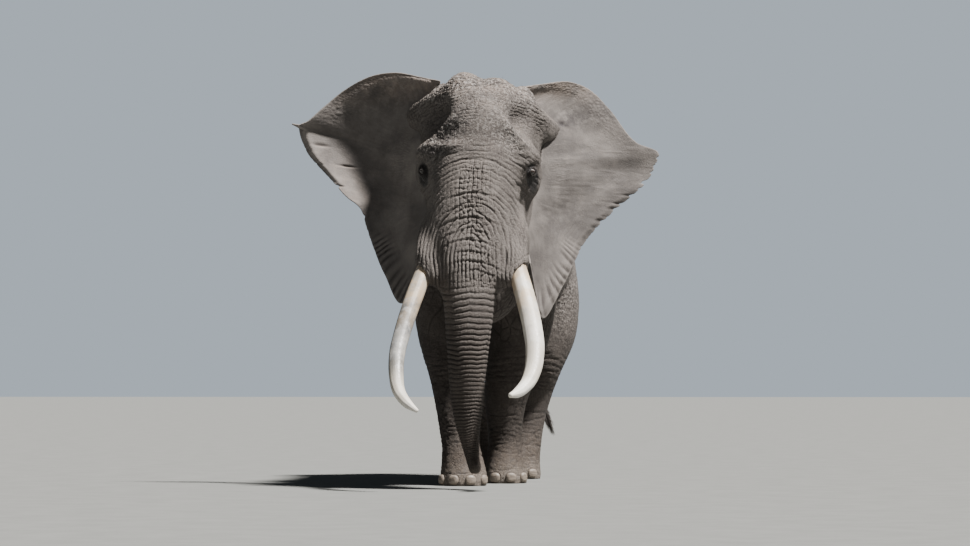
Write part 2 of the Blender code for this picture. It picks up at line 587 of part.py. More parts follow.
nodes = {}
nodes["leg_front_left"] = part_off(work, "leg_front_left", [
    ("y", ARM, -0.56, 0.60), ("x", [(FOOT_SPLIT, -0.1), (0.80, -0.1), (0.80, 0.86), (FOOT_SPLIT, 0.86)], -0.30, 1.0)])
nodes["leg_front_right"] = part_off(work, "leg_front_right", [
    ("y", flipped(ARM), -0.62, 0.54), ("x", [(-1.05, -0.1), (FOOT_SPLIT, -0.1), (FOOT_SPLIT, 0.86), (-1.05, 0.86)], -1.0, 0.30)])
nodes["leg_hind_left"] = part_off(work, "leg_hind_left", [("y", THIGH, 1.20, 2.55)])
nodes["leg_hind_right"] = part_off(work, "leg_hind_right", [("y", flipped(THIGH), 1.28, 2.68)])
nodes["trunk_lower"] = part_off(work, "trunk_lower", [("x", [(-2.4, -0.1), (-1.27, -0.1), (-1.27, 0.70), (-2.4, 0.74)], -0.6, 0.6)])
nodes["trunk_middle"] = part_off(work, "trunk_middle", [("x", [(-2.4, 0.72), (-1.27, 0.68), (-1.27, 1.18), (-2.4, 1.24)], -0.6, 0.6)])
nodes["trunk_upper"] = part_off(work, "trunk_upper", [("x", [(-2.4, 1.10), (-1.27, 1.10), (-1.27, 1.69), (-2.4, 1.85)], -0.6, 0.6)])
nodes["head"] = part_off(work, "head", [("x", [(-2.4, 1.40), (-0.92, 1.40), (-0.46, 3.70), (-2.4, 3.70)], -0.9, 0.9)])
nodes["neck"] = part_off(work, "neck", [("x", [(-1.2, 1.0), (-0.725, 1.0), (-0.16, 3.70), (-1.2, 3.70)], -0.9, 0.9)])
nodes["torso"] = largest_shell(work)
head = nodes["head"]
nodes["lower_jaw"] = part_off(head, "lower_jaw", [("x", [(-1.40, 1.40), (-0.70, 1.40), (-0.70, 2.045), (-1.40, 1.80)], -0.6, 0.6)])
largest_shell(head)

# ---------------------------------------------------------------- ears, tusks, tail
def seated(name, verts, faces, hosts):
    """A closed piece, and a recess of its own shape in each piece that holds its root."""
    obj = mesh_object(name, verts, faces) if faces else verts
    nodes[name] = largest_shell(obj)     # in triangles, so that its recess has the same faces
    for host in hosts:
        boolean(nodes[host], swollen(obj, 1.5 * GAP), "DIFFERENCE")
        largest_shell(nodes[host])
    return obj


for side in ("left", "right"):
    seated("ear_" + side, ear(side, 6, 28, "ear_" + side), None, ("head", "neck"))
for side, rows in TUSKS.items():
    v, f = tube(rows, 10, 0.15)
    seated("tusk_" + side, v, f, ("head", "trunk_upper"))
v, f = tube(TAIL, 10, 0.16)
seated("tail", v, f, ("torso",))
v, f = tube(TUFT, 10, 0.05)
seated("tail_tuft", v, f, ("tail",))

# ---------------------------------------------------------------- eyes
for side, centre in EYES.items():
    v, f = ellipsoid(centre, (EYE_R,) * 3, 10)
    seated("eye_" + side, v, f, ("head",))

# ---------------------------------------------------------------- toenails
NAIL_SIZE = (0.047, 0.026, 0.042)     # half width, half depth, half height
for leg, angles in (("front_left", (-63, -22, 20, 60)), ("front_right", (-60, -20, 22, 63)),
                    ("hind_left", (-44, -3, 38)), ("hind_right", (-38, 3, 44))):
    x, y, z, rx, ry = LEGS[leg][-2]
    for i, a in enumerate(angles):
        a = math.radians(a)
        out = np.array([math.sin(a), -math.cos(a), 0.0])
        side = np.array([math.cos(a), math.sin(a), 0.0])
        v, f = ellipsoid((0, 0, 0), NAIL_SIZE, 8)
        centre = np.array([x + 0.955 * rx * math.sin(a), y - 0.955 * ry * math.cos(a), 0.054])
        v = centre + v[:, :1] * side + v[:, 1:2] * out + v[:, 2:] * np.array([0, 0, 1.0])
        seated("toenail_%s_%d" % (leg, i + 1), v, f, ("leg_" + leg,))

# ---------------------------------------------------------------- finish
everything = np.vstack([points_of(o) for o in nodes.values()])
middle = (everything.min(0) + everything.max(0)) / 2
for name, obj in nodes.items():
    obj.name = name
    obj.data.name = name
    set_points(obj, points_of(obj) - (middle[0], middle[1], 0.0))
    kind = name.split("_")[0]
    look = {"tusk": IVORY, "eye": EYE, "toenail": NAIL}.get(kind, HAIR if name == "tail_tuft" else SKIN)
    obj.data.materials.clear()
    obj.data.materials.append(look)
    obj.data.shade_smooth()
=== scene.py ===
"""Looks of the elephant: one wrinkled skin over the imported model, with tusks, eyes, nails and hair."""

import math
import time

import bmesh
import bpy
import numpy as np
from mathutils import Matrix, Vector
from mathutils.kdtree import KDTree


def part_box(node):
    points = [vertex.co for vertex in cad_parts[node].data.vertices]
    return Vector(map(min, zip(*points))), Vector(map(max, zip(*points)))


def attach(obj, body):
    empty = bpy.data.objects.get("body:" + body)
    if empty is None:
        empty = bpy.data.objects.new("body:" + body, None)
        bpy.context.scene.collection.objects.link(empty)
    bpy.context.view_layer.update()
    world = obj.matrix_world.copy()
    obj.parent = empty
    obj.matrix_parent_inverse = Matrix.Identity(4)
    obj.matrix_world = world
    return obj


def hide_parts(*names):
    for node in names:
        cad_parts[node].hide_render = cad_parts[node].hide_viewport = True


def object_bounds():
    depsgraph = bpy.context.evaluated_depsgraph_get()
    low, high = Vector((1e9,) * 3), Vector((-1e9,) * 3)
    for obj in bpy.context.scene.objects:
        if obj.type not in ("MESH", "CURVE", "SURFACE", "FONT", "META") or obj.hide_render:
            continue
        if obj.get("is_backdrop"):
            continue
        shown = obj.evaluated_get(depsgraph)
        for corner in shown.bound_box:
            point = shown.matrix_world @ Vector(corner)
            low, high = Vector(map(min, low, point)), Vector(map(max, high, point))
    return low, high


START = time.time()


def log(*words):
    print("[%.1fs]" % (time.time() - START), *words, flush=True)


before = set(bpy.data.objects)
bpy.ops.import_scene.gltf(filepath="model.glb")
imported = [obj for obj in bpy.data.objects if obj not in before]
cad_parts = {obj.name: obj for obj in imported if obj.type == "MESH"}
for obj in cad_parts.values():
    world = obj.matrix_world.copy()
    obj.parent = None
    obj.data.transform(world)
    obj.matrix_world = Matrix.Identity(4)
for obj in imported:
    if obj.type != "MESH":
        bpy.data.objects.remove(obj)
CAD_BOX = [list(v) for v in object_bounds()]


# ---------------------------------------------------------------- named sizes (metres)
# Working frame: +Z up, the animal faces -Y, its left side is +X, y = 0 at the shoulder.
HEAD_TOP = 3.45          # crown of the skull above the ground
WITHERS = 3.28           # shoulder height
SADDLE = 3.06            # lowest point of the back
CROUP = 3.17             # over the hips
TAIL_ROOT_Z = 2.62
BELLY = 1.36
GIRTH = 0.705            # half width of the barrel
EYE_R = 0.037
EYES = {"left": (0.462, -1.262, 2.636), "right": (-0.434, -1.272, 2.646)}

# back, belly, half width and the level of that width, at stations along the body
TORSO = [  # y,     top,          bottom,       half, level
    (-0.74, 2.80, 1.90, 0.20, 2.32),
    (-0.62, 2.98, 1.70, 0.35, 2.28),
    (-0.35, WITHERS - 0.10, 1.50, 0.51, 2.24),
    (0.00, WITHERS, 1.42, 0.60, 2.20),
    (0.40, WITHERS - 0.05, BELLY + 0.04, 0.65, 2.14),
    (0.85, SADDLE + 0.02, BELLY, GIRTH - 0.01, 2.08),
    (1.25, SADDLE + 0.03, BELLY, GIRTH, 2.04),
    (1.68, CROUP - 0.02, BELLY + 0.07, GIRTH - 0.03, 2.08),
    (2.00, CROUP - 0.03, BELLY + 0.20, 0.61, 2.14),
    (2.32, 2.97, 1.74, 0.48, 2.22),
    (2.54, 2.72, 1.95, 0.33, 2.27),
    (2.66, 2.50, 2.10, 0.16, 2.30),
]
# centre and radii (side, depth) down the middle of the face and the trunk
PROBOSCIS = [  # x,  y,     z,    side,  depth
    (0.000, -0.92, 3.12, 0.28, 0.33),
    (0.000, -1.06, 2.93, 0.335, 0.36),
    (0.000, -1.17, 2.74, 0.385, 0.38),
    (-0.010, -1.25, 2.52, 0.390, 0.385),
    (-0.018, -1.33, 2.28, 0.385, 0.375),
    (-0.018, -1.43, 2.04, 0.395, 0.345),
    (-0.012, -1.52, 1.87, 0.370, 0.31),
    (-0.020, -1.58, 1.74, 0.300, 0.275),
    (-0.024, -1.62, 1.63, 0.240, 0.25),
    (-0.026, -1.645, 1.53, 0.216, 0.238),
    (-0.028, -1.67, 1.39, 0.203, 0.225),
    (-0.032, -1.70, 1.15, 0.178, 0.20),
    (-0.037, -1.70, 0.98, 0.165, 0.183),
    (-0.040, -1.69, 0.82, 0.151, 0.165),
    (-0.038, -1.68, 0.65, 0.134, 0.145),
    (-0.030, -1.675, 0.52, 0.112, 0.122),
    (-0.018, -1.68, 0.40, 0.090, 0.099),
    (0.000, -1.70, 0.30, 0.073, 0.082),
    (0.020, -1.74, 0.215, 0.064, 0.072),
    (0.042, -1.80, 0.155, 0.062, 0.066),
]
# legs: centre line and radii (side, depth) from inside the body to below the sole
LEGS = {
    "front_right": [
        (-0.400, -0.020, 2.350, 0.170, 0.400), (-0.410, -0.060, 1.900, 0.215, 0.380),
        (-0.385, -0.120, 1.500, 0.235, 0.300), (-0.345, -0.200, 1.200, 0.215, 0.245),
        (-0.290, -0.280, 0.980, 0.195, 0.215), (-0.240, -0.360, 0.720, 0.183, 0.200),
        (-0.205, -0.430, 0.470, 0.172, 0.180), (-0.180, -0.470, 0.300, 0.172, 0.182),
        (-0.163, -0.500, 0.150, 0.196, 0.215), (-0.157, -0.515, 0.050, 0.212, 0.238),
        (-0.157, -0.515, -0.060, 0.205, 0.232)],
    "front_left": [
        (0.400, 0.020, 2.350, 0.170, 0.400), (0.410, 0.060, 1.900, 0.215, 0.380),
        (0.330, 0.100, 1.500, 0.270, 0.300), (0.252, 0.140, 1.200, 0.268, 0.250),
        (0.198, 0.180, 0.950, 0.230, 0.215), (0.152, 0.240, 0.700, 0.189, 0.198),
        (0.148, 0.280, 0.470, 0.158, 0.178), (0.145, 0.290, 0.300, 0.156, 0.180),
        (0.145, 0.280, 0.150, 0.184, 0.212), (0.147, 0.270, 0.050, 0.202, 0.236),
        (0.147, 0.270, -0.060, 0.196, 0.230)],
    "hind_left": [
        (0.400, 1.927, 2.350, 0.200, 0.460), (0.450, 1.900, 1.900, 0.250, 0.450),
        (0.470, 1.807, 1.580, 0.262, 0.410), (0.475, 1.732, 1.340, 0.235, 0.345),
        (0.400, 1.714, 1.050, 0.190, 0.262), (0.335, 1.769, 0.840, 0.170, 0.215),
        (0.285, 1.788, 0.620, 0.155, 0.185), (0.245, 1.751, 0.360, 0.150, 0.172),
        (0.212, 1.695, 0.140, 0.172, 0.205), (0.205, 1.676, 0.050, 0.188, 0.228),
        (0.205, 1.676, -0.060, 0.182, 0.222)],
    "hind_right": [
        (-0.400, 1.955, 2.350, 0.200, 0.460), (-0.450, 1.993, 1.900, 0.250, 0.450),
        (-0.470, 1.974, 1.580, 0.262, 0.410), (-0.455, 1.955, 1.340, 0.235, 0.345),
        (-0.385, 2.011, 1.050, 0.190, 0.262), (-0.325, 2.141, 0.840, 0.170, 0.215),
        (-0.275, 2.234, 0.620, 0.155, 0.185), (-0.235, 2.253, 0.360, 0.150, 0.172),
        (-0.212, 2.216, 0.140, 0.172, 0.205), (-0.208, 2.197, 0.050, 0.188, 0.228),
        (-0.208, 2.197, -0.060, 0.182, 0.222)],
}
NECK = [(0, 0.05, 2.42, 0.50, 0.74), (0, -0.35, 2.46, 0.47, 0.68), (0, -0.70, 2.56, 0.42, 0.62), (0, -1.0, 2.68, 0.36, 0.52)]
TAIL = [(0.000, 2.439, 2.660, 0.110, 0.120), (0.010, 2.653, 2.520, 0.095, 0.100), (0.030, 2.765, 2.250, 0.062, 0.066),
        (0.070, 2.820, 1.850, 0.047, 0.050), (0.130, 2.830, 1.420, 0.037, 0.039), (0.220, 2.811, 1.050, 0.029, 0.031),
        (0.310, 2.783, 0.760, 0.022, 0.024), (0.345, 2.774, 0.660, 0.017, 0.018)]
TUFT = [(0.348, 2.774, 0.652, 0.018, 0.019), (0.375, 2.765, 0.570, 0.040, 0.036), (0.408, 2.755, 0.480, 0.042, 0.038), (0.445, 2.737, 0.385, 0.012, 0.012)]
SHEATH = [(0.20, -1.00, 2.50, 0.16, 0.20), (0.26, -1.20, 2.26, 0.170, 0.20), (0.320, -1.38, 2.07, 0.158, 0.175), (0.352, -1.50, 1.94, 0.128, 0.150),
          (0.362, -1.575, 1.865, 0.104, 0.145), (0.338, -1.640, 1.775, 0.080, 0.120)]
LIP = [(0.18, -1.38, 2.08, 0.16, 0.16), (0.25, -1.52, 1.90, 0.125, 0.125), (0.290, -1.630, 1.77, 0.095, 0.125), (0.285, -1.680, 1.675, 0.062, 0.092)]
JAW = [(0.25, -0.78, 2.20, 0.15, 0.18), (0.17, -0.93, 1.96, 0.135, 0.15), (0.07, -1.07, 1.80, 0.10, 0.11), (0.0, -1.17, 1.72, 0.055, 0.06)]
# masses of muscle and bone: centre, radii; mirrored where x is not 0
MASSES = [
    ((0.13, -0.92, 2.9), (0.315, 0.47, 0.55)),      # the two halves of the crown
    ((0, -1.12, 2.92), (0.32, 0.40, 0.44)),        # forehead
    ((0.375, -1.15, 2.76), (0.150, 0.24, 0.165)),    # brow and cheek bone
    ((0.385, -1.02, 2.63), (0.155, 0.25, 0.24)),     # cheek behind the eye
    ((0.25, -0.96, 2.3), (0.165, 0.30, 0.42)),      # chewing muscle
    ((0.345, -0.76, 2.93), (0.175, 0.19, 0.50)),     # root of the ear
    ((0.345, -0.83, 2.33), (0.105, 0.12, 0.27)),     # foot of the ear
    ((0.38, -0.05, 2.35), (0.22, 0.42, 0.80)),       # shoulder blade
    ((0.4, 1.9, 2.32), (0.24, 0.52, 0.74)),        # hip and thigh
    ((0, -0.52, 1.78), (0.36, 0.34, 0.42)),        # brisket
]
CRESTS = {  # over each temple, out and down to the ear; the right one ends higher
    "left": [(0.20, -0.98, 3.36, 0.05, 0.06), (0.37, -0.96, 3.27, 0.055, 0.07), (0.485, -0.86, 3.15, 0.060, 0.080),
             (0.555, -0.71, 3.09, 0.068, 0.082), (0.61, -0.59, 3.06, 0.062, 0.075), (0.652, -0.50, 3.04, 0.046, 0.060)],
    "right": [(0.20, -0.98, 3.36, 0.05, 0.06), (0.37, -0.95, 3.29, 0.055, 0.07), (0.48, -0.84, 3.225, 0.060, 0.078),
              (0.55, -0.68, 3.20, 0.066, 0.078), (0.60, -0.54, 3.175, 0.060, 0.072), (0.640, -0.44, 3.155, 0.046, 0.060)],
}
WEBS = {  # skin that fills the corner under each crest
    "left": [(0.46, -0.82, 3.00, 0.07, 0.08), (0.545, -0.68, 2.985, 0.068, 0.080), (0.62, -0.55, 2.985, 0.048, 0.062)],
    "right": [(0.46, -0.80, 3.09, 0.07, 0.08), (0.54, -0.64, 3.085, 0.068, 0.080), (0.61, -0.50, 3.09, 0.048, 0.062)],
}
BROW = [(0.13, -1.36, 3.18, 0.05, 0.05), (0.24, -1.37, 3.05, 0.05, 0.05), (0.35, -1.34, 2.93, 0.05, 0.05), (0.44, -1.26, 2.82, 0.05, 0.05)]   # edge of the forehead
HEAD_ROLL = 0.032        # the head leans a little to its left
TUSKS = {  # root hidden in the sheath, then the free length: centre and radius
    "right": [(-0.300, -1.36, 2.05, 0.066), (-0.398, -1.60, 1.80, 0.072), (-0.480, -1.76, 1.555, 0.0725),
              (-0.547, -1.92, 1.308, 0.069), (-0.583, -2.06, 1.103, 0.065), (-0.577, -2.18, 0.94, 0.060),
              (-0.542, -2.30, 0.803, 0.051), (-0.462, -2.40, 0.707, 0.038), (-0.388, -2.46, 0.655, 0.020)],
    "left": [(0.290, -1.36, 2.05, 0.072), (0.372, -1.60, 1.80, 0.078), (0.450, -1.76, 1.556, 0.081),
             (0.508, -1.92, 1.348, 0.080), (0.542, -2.08, 1.143, 0.076), (0.533, -2.22, 0.981, 0.068),
             (0.485, -2.36, 0.860, 0.054), (0.412, -2.47, 0.792, 0.038), (0.372, -2.52, 0.778, 0.024)],
}
EAR_ROOT = [(0.0, 0.30, -0.80, 3.26), (0.33, 0.42, -0.76, 2.95), (0.66, 0.44, -0.78, 2.52), (1.0, 0.38, -0.90, 2.12)]
HOLLOW = {"left": 1.0, "right": 2.3}     # how far each ear is cupped
EAR_MARGIN = {
    "left": [(0.00, 0.36, -0.78, 3.385), (0.10, 0.545, -0.62, 3.425), (0.20, 0.75, -0.47, 3.452), (0.28, 0.92, -0.37, 3.39),
             (0.36, 1.09, -0.31, 3.22), (0.45, 1.32, -0.26, 2.94), (0.50, 1.50, -0.22, 2.86), (0.55, 1.47, -0.22, 2.73),
             (0.61, 1.385, -0.26, 2.58), (0.68, 1.215, -0.33, 2.43), (0.75, 1.005, -0.43, 2.23), (0.80, 0.88, -0.50, 2.08),
             (0.85, 0.80, -0.58, 1.92), (0.90, 0.70, -0.68, 1.70), (0.95, 0.53, -0.82, 1.42), (1.00, 0.44, -0.93, 1.86)],
    "right": [(0.00, -0.34, -0.78, 3.44), (0.08, -0.52, -0.65, 3.49), (0.16, -0.75, -0.51, 3.54), (0.24, -0.975, -0.44, 3.515),
              (0.32, -1.20, -0.38, 3.405), (0.40, -1.38, -0.36, 3.26), (0.46, -1.52, -0.34, 3.135), (0.50, -1.60, -0.33, 3.09),
              (0.56, -1.535, -0.36, 2.877), (0.61, -1.43, -0.38, 2.746), (0.66, -1.29, -0.41, 2.60), (0.71, -1.18, -0.43, 2.48),
              (0.76, -1.05, -0.45, 2.37), (0.81, -0.99, -0.49, 2.19), (0.86, -0.915, -0.55, 1.995), (0.91, -0.82, -0.65, 1.795),
              (0.955, -0.664, -0.76, 1.55), (1.00, -0.46, -0.92, 1.90)],
}


# ---------------------------------------------------------------- curves and lofts
def smooth_line(rows):
    """A function of the first column that passes smoothly through the other columns."""
    p = np.array(rows, float)
    x, y = p[:, 0], p[:, 1:]
    h = np.diff(x)[:, None]
    d = np.diff(y, axis=0) / h
    m = np.vstack([d[:1], (d[:-1] * h[1:] + d[1:] * h[:-1]) / (h[:-1] + h[1:]), d[-1:]])

    def at(t):
        t = np.clip(np.asarray(t, float), x[0], x[-1])
        i = np.clip(np.searchsorted(x, t, side="right") - 1, 0, len(x) - 2)
        w = x[i + 1] - x[i]
        s = ((t - x[i]) / w)[..., None]
        w = w[..., None]
        return ((2 * s**3 - 3 * s**2 + 1) * y[i] + (s**3 - 2 * s**2 + s) * w * m[i]
                + (3 * s**2 - 2 * s**3) * y[i + 1] + (s**3 - s**2) * w * m[i + 1])
    return at


def along(rows):
    """The same, with the distance along the rows' own points as the parameter; also its length."""
    p = np.array(rows, float)
    s = np.concatenate([[0], np.cumsum(np.linalg.norm(np.diff(p[:, :3], axis=0), axis=1))])
    return smooth_line(np.column_stack([s, p])), s[-1]


def closed_loft(rings):
    """Vertices and faces of rings joined end to end, closed by a point at each end."""
    n, k = rings.shape[:2]
    verts = np.vstack([rings.reshape(-1, 3), rings[0].mean(0), rings[-1].mean(0)])
    i, j = np.meshgrid(np.arange(n - 1), np.arange(k), indexing="ij")
    jn = (j + 1) % k
    quads = np.stack([i * k + j, i * k + jn, (i + 1) * k + jn, (i + 1) * k + j], -1).reshape(-1, 4)
    faces = [tuple(q) for q in quads.tolist()]
    a, b = n * k, n * k + 1
    faces += [(a, (q + 1) % k, q) for q in range(k)]
    faces += [(b, (n - 1) * k + q, (n - 1) * k + (q + 1) % k) for q in range(k)]
    return verts, faces


def tube(rows, ring=32, step=0.05, side=(1, 0, 0), power=1.0):
    """An oval tube: rows of x, y, z, half size along side, half size across it."""
    f, length = along(rows)
    s = np.linspace(0, length, max(4, int(length / step) + 2))
    p = f(s)
    c, r = p[:, :3], p[:, 3:]
    if r.shape[1] == 1:
        r = np.repeat(r, 2, axis=1)
    t = np.gradient(c, axis=0)
    t /= np.linalg.norm(t, axis=1)[:, None]
    e = np.array(side, float) - t * (t @ np.array(side, float))[:, None]
    e /= np.linalg.norm(e, axis=1)[:, None]
    b = np.cross(t, e)
    a = np.arange(ring) * 2 * math.pi / ring
    ca, sa = np.cos(a), np.sin(a)
    ca, sa = np.sign(ca) * np.abs(ca) ** power, np.sign(sa) * np.abs(sa) ** power
    rings = (c[:, None] + e[:, None] * (r[:, :1] * ca)[..., None] + b[:, None] * (r[:, 1:2] * sa)[..., None])
    return closed_loft(rings)


def torso(ring=64, step=0.06):
    f = smooth_line(TORSO)
    y = np.linspace(TORSO[0][0], TORSO[-1][0], int((TORSO[-1][0] - TORSO[0][0]) / step))
    top, bottom, half, level = f(y).T
    a = np.arange(ring) * 2 * math.pi / ring
    c, s = np.cos(a), np.sin(a)
    x = half[:, None] * np.sign(c) * np.abs(c) ** np.where(s > 0, 1.22, 0.97)
    z = level[:, None] + np.where(s > 0, (top - level)[:, None] * s, (level - bottom)[:, None] * s)
    rings = np.stack([x, np.broadcast_to(y[:, None], x.shape), z], -1)[:, ::-1]
    return closed_loft(rings)


def ellipsoid(centre, radii, ring=32):
    t = np.linspace(0, math.pi, ring // 2 + 1)[1:-1]
    a = np.arange(ring) * 2 * math.pi / ring
    rings = np.stack([np.sin(t)[:, None] * np.cos(a), np.sin(t)[:, None] * np.sin(a),
                      np.broadcast_to(np.cos(t)[:, None], (len(t), ring))], -1)[:, ::-1]
    v, f = closed_loft(rings * np.array(radii) + np.array(centre))
    v[-2], v[-1] = np.array(centre) + (0, 0, radii[2]), np.array(centre) - (0, 0, radii[2])
    return v, f


def mirrored(rows):
    return [(-r[0],) + tuple(r[1:]) for r in rows]


def body_masses(fine=1.0, tail=True):
    """Every closed mass that the body is made from; they overlap."""
    n = int(32 * fine)
    step = 0.05 / fine
    parts = [torso(2 * n, step), tube(NECK, n, step), tube(PROBOSCIS, n + n // 2, step * 0.6)]
    if tail:
        parts.append(tube(TAIL, n, step))
    parts += [tube(leg, n, step) for leg in LEGS.values()]
    for rows in [SHEATH, LIP, JAW, BROW]:
        parts += [tube(rows, n, step), tube(mirrored(rows), n, step)]
    for rows in (CRESTS, WEBS):
        parts += [tube(rows["left"], n, step), tube(mirrored(rows["right"]), n, step)]
    for centre, radii in MASSES:
        parts.append(ellipsoid(centre, radii, n))
        if centre[0]:
            parts.append(ellipsoid((-centre[0],) + centre[1:], radii, n))
    return parts


def mesh_object(name, verts, faces):
    mesh = bpy.data.meshes.new(name)
    mesh.from_pydata([tuple(v) for v in np.asarray(verts).tolist()], [], faces)
    mesh.update()
    obj = bpy.data.objects.new(name, mesh)
    bpy.context.scene.collection.objects.link(obj)
    return obj


def joined(name, parts):
    verts, faces, n = [], [], 0
    for v, f in parts:
        verts.append(np.asarray(v))
        faces += [tuple(i + n for i in q) for q in f]
        n += len(v)
    return mesh_object(name, np.vstack(verts), faces)


def facing_out(obj):
    bm = bmesh.new()
    bm.from_mesh(obj.data)
    bmesh.ops.recalc_face_normals(bm, faces=bm.faces)
    bm.to_mesh(obj.data)
    bm.free()


def applied(obj):
    """The object with its modifiers made real."""
    graph = bpy.context.evaluated_depsgraph_get()
    mesh = bpy.data.meshes.new_from_object(obj.evaluated_get(graph))
    old = obj.data
    obj.modifiers.clear()
    obj.data = mesh
    bpy.data.meshes.remove(old)
    return obj


def points_of(obj):
    co = np.empty(len(obj.data.vertices) * 3, np.float32)
    obj.data.vertices.foreach_get("co", co)
    return co.reshape(-1, 3).astype(float)


def set_points(obj, co):
    obj.data.vertices.foreach_set("co", np.asarray(co, np.float32).ravel())
    obj.data.update()


def normals_of(obj):
    no = np.empty(len(obj.data.vertices) * 3, np.float32)
    obj.data.vertex_normals.foreach_get("vector", no)
    return no.reshape(-1, 3).astype(float)


def edges_of(obj):
    e = np.empty(len(obj.data.edges) * 2, np.int32)
    obj.data.edges.foreach_get("vertices", e)
    return e.reshape(-1, 2)


def relax(co, edges, weight, rounds, keep=0.0):
    """Each point moves towards the mean of its neighbours; keep gives back some of the lost size."""
    n = len(co)
    a, b = edges[:, 0], edges[:, 1]
    count = np.bincount(a, minlength=n) + np.bincount(b, minlength=n)
    for _ in range(rounds):
        for w in (0.6, -0.6 * keep) if keep else (0.6,):
            mean = np.stack([np.bincount(a, co[b, k], n) + np.bincount(b, co[a, k], n) for k in range(3)], 1)
            co = co + w * weight[:, None] * (mean / count[:, None] - co)
    return co


def near(co, centre, radii):
    """1 at the centre, falling smoothly to 0 a little past the radii."""
    q = ((co - np.array(centre)) / np.array(radii)) ** 2
    return np.exp(-q.sum(1))


# soft forms pressed into or raised from the surface: centre, radii, height; mirrored in x
FORMS = [
    ((0.385, -1.17, 3.09), (0.13, 0.18, 0.14), -0.120),   # hollow of the temple
    ((0.54, -0.92, 2.75), (0.08, 0.05, 0.20), -0.050),   # crease in front of the ear
    ((0.45, -1.24, 2.77), (0.12, 0.14, 0.06), 0.022),    # brow
    ((0.42, -1.3, 2.38), (0.10, 0.18, 0.13), -0.030),   # hollow under the eye
    ((0, -1.46, 3.05), (0.16, 0.16, 0.16), -0.015),    # dip of the forehead
    ((0, -1.62, 2.42), (0.26, 0.20, 0.22), 0.020),     # bridge of the trunk
    ((0.27, -1.66, 1.92), (0.06, 0.12, 0.16), -0.030),   # furrow between trunk and sheath
    ((0.3, -0.45, 2.95), (0.16, 0.25, 0.25), -0.050),   # hollow behind the ear
    ((0.62, 0.533, 2.35), (0.15, 0.20, 0.50), -0.030),    # behind the shoulder blade
    ((0.6, 1.369, 1.5), (0.15, 0.20, 0.30), -0.030),    # flank in front of the thigh
    ((0.66, 0.998, 2.1), (0.20, 0.45, 0.50), 0.015),     # ribs
    ((0.48, 1.751, 2.93), (0.14, 0.16, 0.14), 0.045),     # point of the hip
    ((0.42, 2.207, 2.62), (0.18, 0.25, 0.25), -0.030),    # hollow of the rump
]


ONE_SIDED = [((-0.13, -0.95, 3.44), (0.15, 0.25, 0.16), 0.060), ((0.13, -0.95, 3.44), (0.12, 0.25, 0.12), 0.018),
             ((0.42, -1.05, 3.06), (0.13, 0.18, 0.13), 0.045)]


def ramp(x, lo, hi):
    t = np.clip((np.asarray(x, float) - lo) / (hi - lo), 0, 1)
    return t * t * (3 - 2 * t)


def rolled(co):
    """The head's lean: a small turn about the neck, fading into the neck and down the trunk."""
    w = (1 - ramp(co[:, 1], -0.95, -0.45)) * ramp(co[:, 2], 1.55, 1.95)
    out = co.copy()
    out[:, 0] += HEAD_ROLL * (co[:, 2] - 2.35) * w
    out[:, 2] -= HEAD_ROLL * co[:, 0] * w
    return out


def body(voxel, fine=1.0, rounds=6, name="body", tail=True):
    obj = joined(name, body_masses(fine, tail))
    facing_out(obj)
    m = obj.modifiers.new("Fuse", "REMESH")
    m.mode = "VOXEL"
    m.voxel_size = voxel
    applied(obj)
    co, edges = points_of(obj), edges_of(obj)
    slim = np.clip(1.15 - co[:, 2] / 0.35, 0, 1) * (co[:, 1] < -1.3)             # tip of the trunk
    slim = np.maximum(slim, (co[:, 1] > 2.86) & (co[:, 2] < 2.4))                # tail
    sheath = near(np.abs(co) * (1, -1, 1), (0.40, -1.55, 1.88), (0.14, 0.14, 0.12))
    lip = near(np.abs(co) * (1, -1, 1), (0.30, -1.67, 1.74), (0.12, 0.12, 0.13))
    weight = (1 - 0.9 * slim) * (1 - 0.75 * np.maximum(sheath, lip))
    co = relax(co, edges, weight, rounds, keep=0.0)
    set_points(obj, co)
    no = normals_of(obj)
    for centre, radii, height in FORMS:
        w = near(co, centre, radii)
        if centre[0]:
            w = w + near(co, (-centre[0],) + centre[1:], radii)
        co = co + no * (w * height)[:, None]
    co = rolled(co)
    no = normals_of(obj)
    for centre, radii, height in ONE_SIDED:
        co = co + no * (near(co, centre, radii) * height)[:, None]
    set_points(obj, co)
    return obj


def ear_sheet(side, nu, nv):
    """Middle surface of an ear: nu steps from root to margin, nv round the margin from the crown to the jaw."""
    s = 1 if side == "left" else -1
    v = np.linspace(0, 1, nv)
    root = smooth_line(EAR_ROOT)(v) * (s, 1, 1)
    edge = smooth_line(EAR_MARGIN[side])(v)
    u = np.linspace(0, 1, nu)[:, None, None]
    p = root[None] * (1 - u) + edge[None] * u
    # the sheet hollows backwards between root and margin
    hollow = np.sin(math.pi * u[..., 0]) * (0.055 + 0.05 * HOLLOW[side] ** 1.8 * np.sin(math.pi * v) ** 1.5)[None]
    p[..., 1] += hollow
    return p


